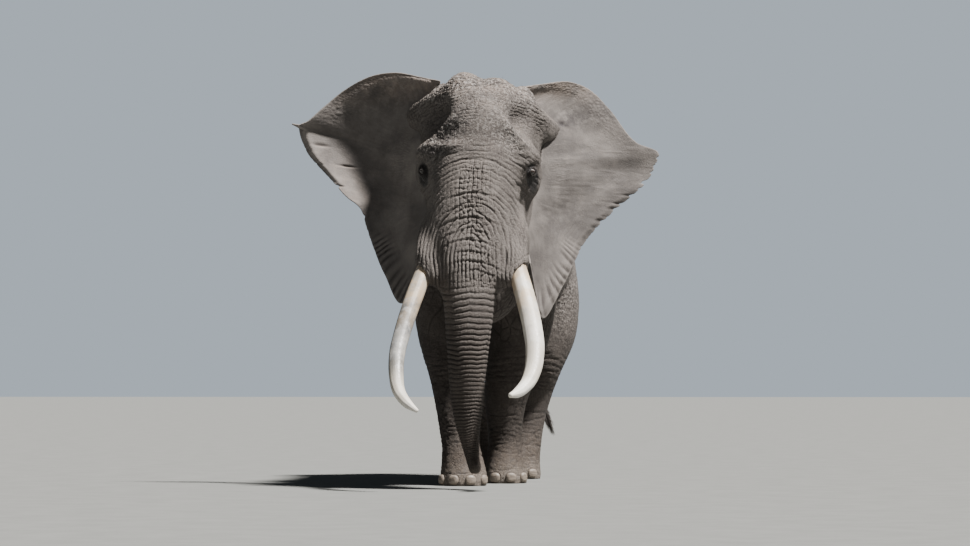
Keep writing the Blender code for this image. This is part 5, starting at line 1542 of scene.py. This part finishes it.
# ================================================================ eyes
def fine_eye(side):
    c, out, up, fwd = eye_frame(side)
    look = out * 0.93 + fwd * 0.30                                    # the animal looks a little ahead
    look /= np.linalg.norm(look)
    v, f = ellipsoid((0, 0, 0), (1, 1, 1), 96)
    e = np.cross(look, (0, 0, 1.0))
    e /= np.linalg.norm(e)
    g = np.cross(e, look)
    w = v[:, :1] * e + v[:, 1:2] * g + v[:, 2:] * look                # pole of the ball faces outwards
    angle = np.arccos(np.clip(v[:, 2], -1, 1))
    bulge = 0.0022 * (1 - ramp(angle, 0.0, 0.48))                     # cornea
    obj = mesh_object("eyeball_" + side, c + w * (EYE_R - 0.0006 + bulge * 0.2)[:, None], f)
    facing_out(obj)
    set_attribute(obj, "from_pole", angle)
    set_attribute(obj, "round", np.arctan2(v[:, 1], v[:, 0]) / math.pi)
    return obj


eyes = {side: fine_eye(side) for side in ("left", "right")}
log("eyes, nails")


# ================================================================ materials
class Look:
    """A Principled material built from nodes."""

    def __init__(self, name):
        self.material = bpy.data.materials.new(name)
        self.material.use_nodes = True
        self.tree = self.material.node_tree
        self.tree.nodes.clear()
        self.surface = self.add("ShaderNodeBsdfPrincipled")
        out = self.add("ShaderNodeOutputMaterial")
        self.tree.links.new(self.surface.outputs[0], out.inputs[0])
        self.place = self.add("ShaderNodeTexCoord").outputs["Object"]

    def add(self, kind, **settings):
        node = self.tree.nodes.new(kind)
        for key, value in settings.items():
            setattr(node, key, value)
        return node

    def put(self, socket, value):
        if isinstance(value, bpy.types.NodeSocket):
            self.tree.links.new(value, socket)
        else:
            socket.default_value = value

    def math(self, operation, a, b=0.0, clamp=False):
        node = self.add("ShaderNodeMath", operation=operation, use_clamp=clamp)
        self.put(node.inputs[0], a)
        self.put(node.inputs[1], b)
        return node.outputs[0]

    def span(self, value, lo, hi, to_lo=0.0, to_hi=1.0, smooth=True):
        node = self.add("ShaderNodeMapRange", interpolation_type="SMOOTHSTEP" if smooth else "LINEAR")
        self.put(node.inputs["Value"], value)
        for key, v in zip(("From Min", "From Max", "To Min", "To Max"), (lo, hi, to_lo, to_hi)):
            node.inputs[key].default_value = v
        return node.outputs[0]

    def mix(self, factor, a, b, blend="MIX"):
        node = self.add("ShaderNodeMix", data_type="RGBA", blend_type=blend)
        self.put(node.inputs[0], factor)
        self.put(node.inputs[6], a if isinstance(a, bpy.types.NodeSocket) else tuple(a) + (1.0,))
        self.put(node.inputs[7], b if isinstance(b, bpy.types.NodeSocket) else tuple(b) + (1.0,))
        return node.outputs[2]

    def noise(self, scale, detail=3.0, rough=0.55, vector=None, distort=0.0):
        node = self.add("ShaderNodeTexNoise")
        self.put(node.inputs["Vector"], vector or self.place)
        node.inputs["Scale"].default_value = scale
        node.inputs["Detail"].default_value = detail
        node.inputs["Roughness"].default_value = rough
        node.inputs["Distortion"].default_value = distort
        return node.outputs[0]

    def cell(self, scale, feature="DISTANCE_TO_EDGE", vector=None):
        node = self.add("ShaderNodeTexVoronoi", feature=feature)
        self.put(node.inputs["Vector"], vector or self.place)
        node.inputs["Scale"].default_value = scale
        return node.outputs["Distance"]

    def stretched(self, x, y, z, vector=None):
        node = self.add("ShaderNodeMapping")
        self.put(node.inputs["Vector"], vector or self.place)
        node.inputs["Scale"].default_value = (x, y, z)
        return node.outputs[0]

    def shaken(self, scale, amount, detail=2.0):
        """The place moved about by noise, so that cells lose their straight sides."""
        n = self.add("ShaderNodeTexNoise")
        self.put(n.inputs["Vector"], self.place)
        n.inputs["Scale"].default_value = scale
        n.inputs["Detail"].default_value = detail
        sub = self.add("ShaderNodeVectorMath", operation="SUBTRACT")
        self.put(sub.inputs[0], n.outputs["Color"])
        sub.inputs[1].default_value = (0.5, 0.5, 0.5)
        mul = self.add("ShaderNodeVectorMath", operation="SCALE")
        self.put(mul.inputs[0], sub.outputs[0])
        mul.inputs["Scale"].default_value = amount
        plus = self.add("ShaderNodeVectorMath", operation="ADD")
        self.put(plus.inputs[0], self.place)
        self.put(plus.inputs[1], mul.outputs[0])
        return plus.outputs[0]

    def value_of(self, name):
        return self.add("ShaderNodeAttribute", attribute_name=name).outputs["Fac"]

    def bump(self, height, distance, strength=1.0, normal=None):
        node = self.add("ShaderNodeBump")
        self.put(node.inputs["Height"], height)
        node.inputs["Distance"].default_value = distance
        self.put(node.inputs["Strength"], strength)
        if normal:
            self.put(node.inputs["Normal"], normal)
        return node.outputs[0]

    def done(self, colour, roughness, normal=None, **more):
        self.put(self.surface.inputs["Base Color"], colour if isinstance(colour, bpy.types.NodeSocket) else tuple(colour) + (1.0,))
        self.put(self.surface.inputs["Roughness"], roughness)
        if normal:
            self.put(self.surface.inputs["Normal"], normal)
        for key, v in more.items():
            self.surface.inputs[key.replace("_", " ")].default_value = v
        return self.material


def skin_look():
    k = Look("elephant_skin")
    wander = k.shaken(13.0, 0.034, 4.0)
    wander_small = k.shaken(48.0, 0.012, 4.0)
    width = k.span(k.noise(17.0, 3.0, 0.6), 0.35, 0.68, 0.045, 0.24)     # the cracks open and close along their way
    plates = k.span(k.math("DIVIDE", k.cell(44.0, vector=wander), width), 0.0, 1.0)        # plates about 2 cm wide, with cracks between
    grains = k.span(k.cell(125.0, vector=wander_small), 0.0, 0.22)       # about 8 mm
    pores = k.noise(330.0, 3.0, 0.6)
    broad = k.noise(0.9, 3.0, 0.5)
    patches = k.noise(4.0, 4.0, 0.6)
    flecks = k.noise(26.0, 4.0, 0.65)
    furrow, crest, dust, mud, lid, ear = [k.value_of(n) for n in ("furrow", "crest", "dust", "mud", "lid", "ear")]
    colour = k.mix(k.span(broad, 0.35, 0.65), (0.108, 0.092, 0.082), (0.150, 0.132, 0.120))
    colour = k.mix(k.math("MULTIPLY", k.span(patches, 0.42, 0.72), 0.75), colour, (0.205, 0.181, 0.163))
    colour = k.mix(k.math("MULTIPLY", k.span(patches, 0.52, 0.28), 0.55), colour, (0.074, 0.062, 0.056))
    # ears: smoother and a shade lighter, warm in the middle
    ear_tone = k.mix(k.span(k.noise(2.6, 4.0, 0.6), 0.35, 0.70), (0.100, 0.090, 0.085), (0.235, 0.210, 0.192))
    colour = k.mix(k.math("MULTIPLY", ear, 0.80), colour, ear_tone)
    # dry dust on what faces up; the crest of each fold is lighter
    dry = k.math("MULTIPLY", dust, k.span(k.noise(7.0, 5.0, 0.65), 0.30, 0.62), clamp=True)
    colour = k.mix(k.math("MULTIPLY", dry, 0.80), colour, (0.300, 0.240, 0.200))
    colour = k.mix(k.math("MULTIPLY", crest, 0.50), colour, (0.285, 0.255, 0.232))
    colour = k.mix(k.math("MULTIPLY", mud, k.span(flecks, 0.30, 0.65, 0.25, 0.75)), colour, (0.225, 0.182, 0.142))
    colour = k.mix(k.span(flecks, 0.55, 0.75, 0.0, 0.35), colour, (0.225, 0.198, 0.178))
    # painted shade: dark in the cracks and furrows
    crack = k.math("SUBTRACT", 1.0, plates)
    crack = k.math("MULTIPLY", crack, k.math("SUBTRACT", 0.38, k.math("MULTIPLY", ear, 0.30)))
    colour = k.mix(crack, colour, (0.050, 0.041, 0.037))
    colour = k.mix(k.math("MULTIPLY", k.math("SUBTRACT", 1.0, grains), k.math("SUBTRACT", 0.26, k.math("MULTIPLY", ear, 0.17))), colour, (0.060, 0.050, 0.045))
    colour = k.mix(k.math("MULTIPLY", furrow, 0.80), colour, (0.030, 0.024, 0.022))
    # pebbled skin is mottled light and dark
    speck = k.value_of("speck")
    colour = k.mix(k.math("MULTIPLY", speck, k.span(k.noise(44.0, 4.0, 0.7), 0.50, 0.58), clamp=True), colour, (0.345, 0.315, 0.290))
    colour = k.mix(k.math("MULTIPLY", speck, k.span(k.noise(37.0, 4.0, 0.7), 0.50, 0.42), clamp=True), colour, (0.032, 0.027, 0.026))
    # dark lid skin, and painted shade down each eye's pouch
    colour = k.mix(k.math("MULTIPLY", lid, 0.97), colour, (0.011, 0.009, 0.009))
    colour = k.mix(k.math("MULTIPLY", k.value_of("damp"), 0.55), colour, (0.060, 0.048, 0.042))
    # painted shade in the hollows, and darker patches elsewhere
    colour = k.mix(k.math("MULTIPLY", k.value_of("painted_shade_and_blotch"), k.span(k.noise(13.0, 5.0, 0.7), 0.36, 0.60), clamp=True), colour, (0.048, 0.042, 0.042))
    # legs and belly darker: partly damp mud, partly painted shade under the body
    colour = k.mix(k.value_of("low"), colour, k.mix(1.0, colour, (0.52, 0.49, 0.47), "MULTIPLY"))
    colour = k.mix(1.0, colour, (0.825, 0.83, 0.835), "MULTIPLY")
    rough = k.math("SUBTRACT", k.span(flecks, 0.3, 0.7, 0.72, 0.90), k.math("MULTIPLY", lid, 0.35))
    rough = k.math("SUBTRACT", rough, k.math("MULTIPLY", k.value_of("damp"), 0.20), clamp=True)
    strong = k.math("SUBTRACT", 1.0, k.math("MULTIPLY", ear, 0.66))
    uneven = k.math("MULTIPLY", strong, k.span(k.noise(6.0, 3.0, 0.6), 0.36, 0.64, 0.25, 1.0))
    normal = k.bump(pores, 0.0006, 0.8)
    normal = k.bump(grains, 0.0015, strong, normal)
    normal = k.bump(plates, 0.0028, uneven, normal)
    normal = k.bump(patches, 0.004, 0.5, normal)
    return k.done(colour, rough, normal, Specular_IOR_Level=0.30)


def ivory_look():
    k = Look("tusk_ivory")
    run = k.value_of("along")
    grain = k.noise(9.0, 5.0, 0.6)
    cloud = k.noise(3.0, 4.0, 0.6)
    fine = k.noise(60.0, 4.0, 0.7)
    colour = k.mix(k.span(cloud, 0.35, 0.68), (0.58, 0.535, 0.455), (0.76, 0.735, 0.68))
    # dark bluish grey over the marked length: grey staining and painted shadow
    colour = k.mix(k.math("MULTIPLY", k.value_of("stain_and_painted_shadow"), k.span(k.noise(5.0, 4.0, 0.6), 0.25, 0.60, 0.55, 0.97)), colour, k.mix(1.0, colour, (0.14, 0.155, 0.18), "MULTIPLY"))
    # stained near the lip, and again in streaks; scuffed grey here and there
    stain = k.math("MULTIPLY", k.span(run, 1.15, 0.42), k.span(grain, 0.34, 0.62))
    colour = k.mix(k.math("MULTIPLY", stain, 0.85), colour, (0.52, 0.385, 0.245))
    colour = k.mix(k.span(run, 0.50, 0.37, 0.0, 0.75), colour, (0.33, 0.25, 0.17))
    colour = k.mix(k.span(fine, 0.56, 0.74, 0.0, 0.30), colour, (0.50, 0.44, 0.355))
    scuff = k.math("MULTIPLY", k.span(k.noise(11.0, 6.0, 0.7), 0.50, 0.66), k.math("ADD", 0.30, k.math("MULTIPLY", k.value_of("stain_and_painted_shadow"), 0.55)))
    colour = k.mix(scuff, colour, (0.330, 0.325, 0.315))
    dots = k.math("MULTIPLY", k.span(k.noise(48.0, 4.0, 0.7), 0.62, 0.70), k.value_of("stain_and_painted_shadow"))
    colour = k.mix(k.math("MULTIPLY", dots, 0.65), colour, (0.10, 0.075, 0.055))
    hair = k.cell(38.0, vector=k.stretched(1.0, 0.35, 0.30))
    colour = k.mix(k.span(hair, 0.030, 0.0, 0.0, 0.30), colour, (0.34, 0.27, 0.20))
    rough = k.span(fine, 0.3, 0.7, 0.36, 0.58)
    normal = k.bump(k.noise(140.0, 3.0, 0.6), 0.0004, 0.7)
    normal = k.bump(hair, 0.0006, 0.35, normal)
    return k.done(colour, rough, normal, Specular_IOR_Level=0.45, Subsurface_Weight=0.0)


def nail_look():
    k = Look("toenail_horn")
    band = k.noise(1.0, 4.0, 0.6, vector=k.stretched(18.0, 18.0, 90.0))
    spot = k.noise(40.0, 5.0, 0.65)
    colour = k.mix(k.span(band, 0.35, 0.65), (0.125, 0.102, 0.082), (0.205, 0.172, 0.140))
    colour = k.mix(k.span(spot, 0.50, 0.72, 0.0, 0.6), colour, (0.110, 0.085, 0.066))
    height = k.add("ShaderNodeSeparateXYZ")
    k.put(height.inputs[0], k.place)
    colour = k.mix(k.span(height.outputs[2], 0.075, 0.098, 0.0, 0.75), colour, (0.130, 0.108, 0.090))
    colour = k.mix(k.span(height.outputs[2], 0.035, 0.010, 0.0, 0.55), colour, (0.215, 0.170, 0.125))
    normal = k.bump(band, 0.0009, 0.8)
    normal = k.bump(spot, 0.0006, 0.5, normal)
    return k.done(colour, k.span(spot, 0.3, 0.7, 0.46, 0.66), normal, Specular_IOR_Level=0.40)


def eye_look():
    k = Look("eye_wet")
    angle, round_ = k.value_of("from_pole"), k.value_of("round")
    ray = k.add("ShaderNodeCombineXYZ")
    k.put(ray.inputs[0], k.math("MULTIPLY", k.math("SINE", k.math("MULTIPLY", round_, math.pi)), 9.0))
    k.put(ray.inputs[1], k.math("MULTIPLY", k.math("COSINE", k.math("MULTIPLY", round_, math.pi)), 9.0))
    k.put(ray.inputs[2], k.math("MULTIPLY", angle, 2.0))
    fibres = k.noise(1.0, 4.0, 0.7, vector=ray.outputs[0])
    iris = k.mix(k.span(fibres, 0.35, 0.68), (0.007, 0.0045, 0.003), (0.018, 0.011, 0.007))
    iris = k.mix(k.span(angle, 0.40, 0.52), iris, (0.020, 0.010, 0.006))
    colour = k.mix(k.span(angle, 0.215, 0.240), (0.002, 0.002, 0.002), iris)
    sclera_and_painted_glint = k.mix(k.span(k.noise(120.0, 4.0, 0.6), 0.4, 0.7), (0.200, 0.175, 0.165), (0.380, 0.350, 0.330))
    level = k.add("ShaderNodeSeparateXYZ")
    k.put(level.inputs[0], k.place)
    sclera_and_painted_glint = k.mix(k.span(level.outputs[2], 2.652, 2.632), sclera_and_painted_glint, (0.028, 0.020, 0.018))        # kept to the upper part of the ball: sclera, with a painted glint
    colour = k.mix(k.span(angle, 0.50, 0.58), colour, sclera_and_painted_glint)
    # painted shade under the lids' edge
    colour = k.mix(k.span(angle, 0.75, 1.00, 0.0, 0.85), colour, (0.035, 0.020, 0.016))
    return k.done(colour, 0.08, None, Specular_IOR_Level=0.5, Coat_Weight=0.7, Coat_Roughness=0.03)


def hair_look():
    k = Look("coarse_hair")
    tone = k.noise(60.0, 3.0, 0.6)
    colour = k.mix(k.span(tone, 0.35, 0.68), (0.012, 0.010, 0.009), (0.060, 0.048, 0.040))
    return k.done(colour, k.span(tone, 0.3, 0.7, 0.38, 0.60), None, Specular_IOR_Level=0.40)


LOOKS = {"skin": skin_look(), "ivory": ivory_look(), "nail": nail_look(), "eye": eye_look(), "hair": hair_look()}


def dress(obj, key):
    obj.data.materials.clear()
    obj.data.materials.append(LOOKS[key])
    obj.data.shade_smooth()
    return obj


dress(skin, "skin")
skin.name = skin.data.name = "skin"
for side in ("left", "right"):
    dress(tusks[side], "ivory")
    dress(eyes[side], "eye")
for leg, i, obj, c, out, sd in nails:
    dress(obj, "nail")
for obj in (tuft, lash, bristles):
    dress(obj, "hair")
log("materials")


# ================================================================ into the row's frame
lo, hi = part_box("eye_left")
shift = (np.array(lo) + np.array(hi)) / 2 - np.array(EYES["left"])
shift[2] = 0.0
log("shift", shift)
pieces = [skin, tuft, lash, bristles] + list(tusks.values()) + list(eyes.values()) + [n[2] for n in nails]
for obj in pieces:
    set_points(obj, points_of(obj) + shift)
    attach(obj, "root")

LEG_NODES = ["leg_front_left", "leg_front_right", "leg_hind_left", "leg_hind_right"]
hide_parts("torso", "neck", "head", "lower_jaw", "trunk_upper", "trunk_middle", "trunk_lower", "ear_left", "ear_right", "tail", *LEG_NODES)
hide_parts("tail_tuft")
for side in ("left", "right"):
    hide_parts("tusk_" + side)
    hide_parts("eye_" + side)
for leg, i, obj, c, out, sd in nails:
    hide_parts("toenail_%s_%d" % (leg, i + 1))

# ================================================================ floor, light, camera
floor = mesh_object("floor", [(-160, -160, 0), (160, -160, 0), (160, 160, 0), (-160, 160, 0)], [(0, 1, 2, 3)])
k = Look("floor_pale")
grain = k.noise(3.0, 4.0, 0.6)
floor.data.materials.append(k.done(k.mix(k.span(grain, 0.3, 0.7), (0.150, 0.153, 0.146), (0.168, 0.171, 0.164)), 0.85, k.bump(k.noise(240.0, 2.0, 0.5), 0.0006, 0.4), Specular_IOR_Level=0.2))
floor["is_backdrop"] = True

middle = Vector((shift[0], shift[1] + 0.2, 1.8))


def soft_box(name, azimuth, elevation, distance, size, power, colour):
    """A broad lamp far off, size in degrees across; azimuth 0 is in front of the animal, 90 on its left."""
    data = bpy.data.lights.new(name, "SUN")
    data.angle = math.radians(size)
    data.energy = power
    data.color = colour
    obj = bpy.data.objects.new(name, data)
    bpy.context.scene.collection.objects.link(obj)
    a, e = math.radians(azimuth), math.radians(elevation)
    way = Vector((math.cos(e) * math.sin(a), -math.cos(e) * math.cos(a), math.sin(e)))
    obj.location = middle + way * distance
    obj.rotation_euler = (-way).to_track_quat("-Z", "Y").to_euler()
    return obj


soft_box("key", 65, 60, 60.0, 6.5, 14.8, (1.0, 0.972, 0.94))
soft_box("front", -20, 22, 60.0, 50.0, 0.16, (0.90, 0.95, 1.0))
world = bpy.data.worlds.new("pale_room")
world.use_nodes = True
tree = world.node_tree
tree.nodes.clear()
room, wall = tree.nodes.new("ShaderNodeBackground"), tree.nodes.new("ShaderNodeBackground")
room.inputs[0].default_value = (0.62, 0.72, 0.84, 1.0)        # what lights the model
room.inputs[1].default_value = 0.090
wall.inputs[0].default_value = (0.56, 0.64, 0.72, 1.0)        # what is seen behind it
wall.inputs[1].default_value = 0.80
seen = tree.nodes.new("ShaderNodeLightPath")
either = tree.nodes.new("ShaderNodeMixShader")
end = tree.nodes.new("ShaderNodeOutputWorld")
tree.links.new(seen.outputs["Is Camera Ray"], either.inputs[0])
tree.links.new(room.outputs[0], either.inputs[1])
tree.links.new(wall.outputs[0], either.inputs[2])
tree.links.new(either.outputs[0], end.inputs[0])
bpy.context.scene.world = world

# the camera stands 30 m off, a little to the animal's left of straight ahead, at chest height
phi = math.radians(4)
right = Vector((math.cos(phi), math.sin(phi), 0))
ahead = Vector((-math.sin(phi), math.cos(phi), 0))
pitch = math.atan((380 - 273) / 3614)
camera_data = bpy.data.cameras.new("camera")
camera_data.lens = 3614 * 36 / 970
camera_data.sensor_width = 36.0
camera_data.clip_start = 0.5
camera_data.clip_end = 600.0
camera = bpy.data.objects.new("camera", camera_data)
bpy.context.scene.collection.objects.link(camera)
camera.location = Vector((shift[0], shift[1] - 1.4, 0.9)) - ahead * 30 + right * 0.088
look = ahead * math.cos(pitch) + Vector((0, 0, 1)) * math.sin(pitch)
camera.rotation_euler = look.to_track_quat("-Z", "Y").to_euler()
bpy.context.scene.camera = camera

VISUAL_BOX = [list(v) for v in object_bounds()]
log("box", CAD_BOX, VISUAL_BOX)
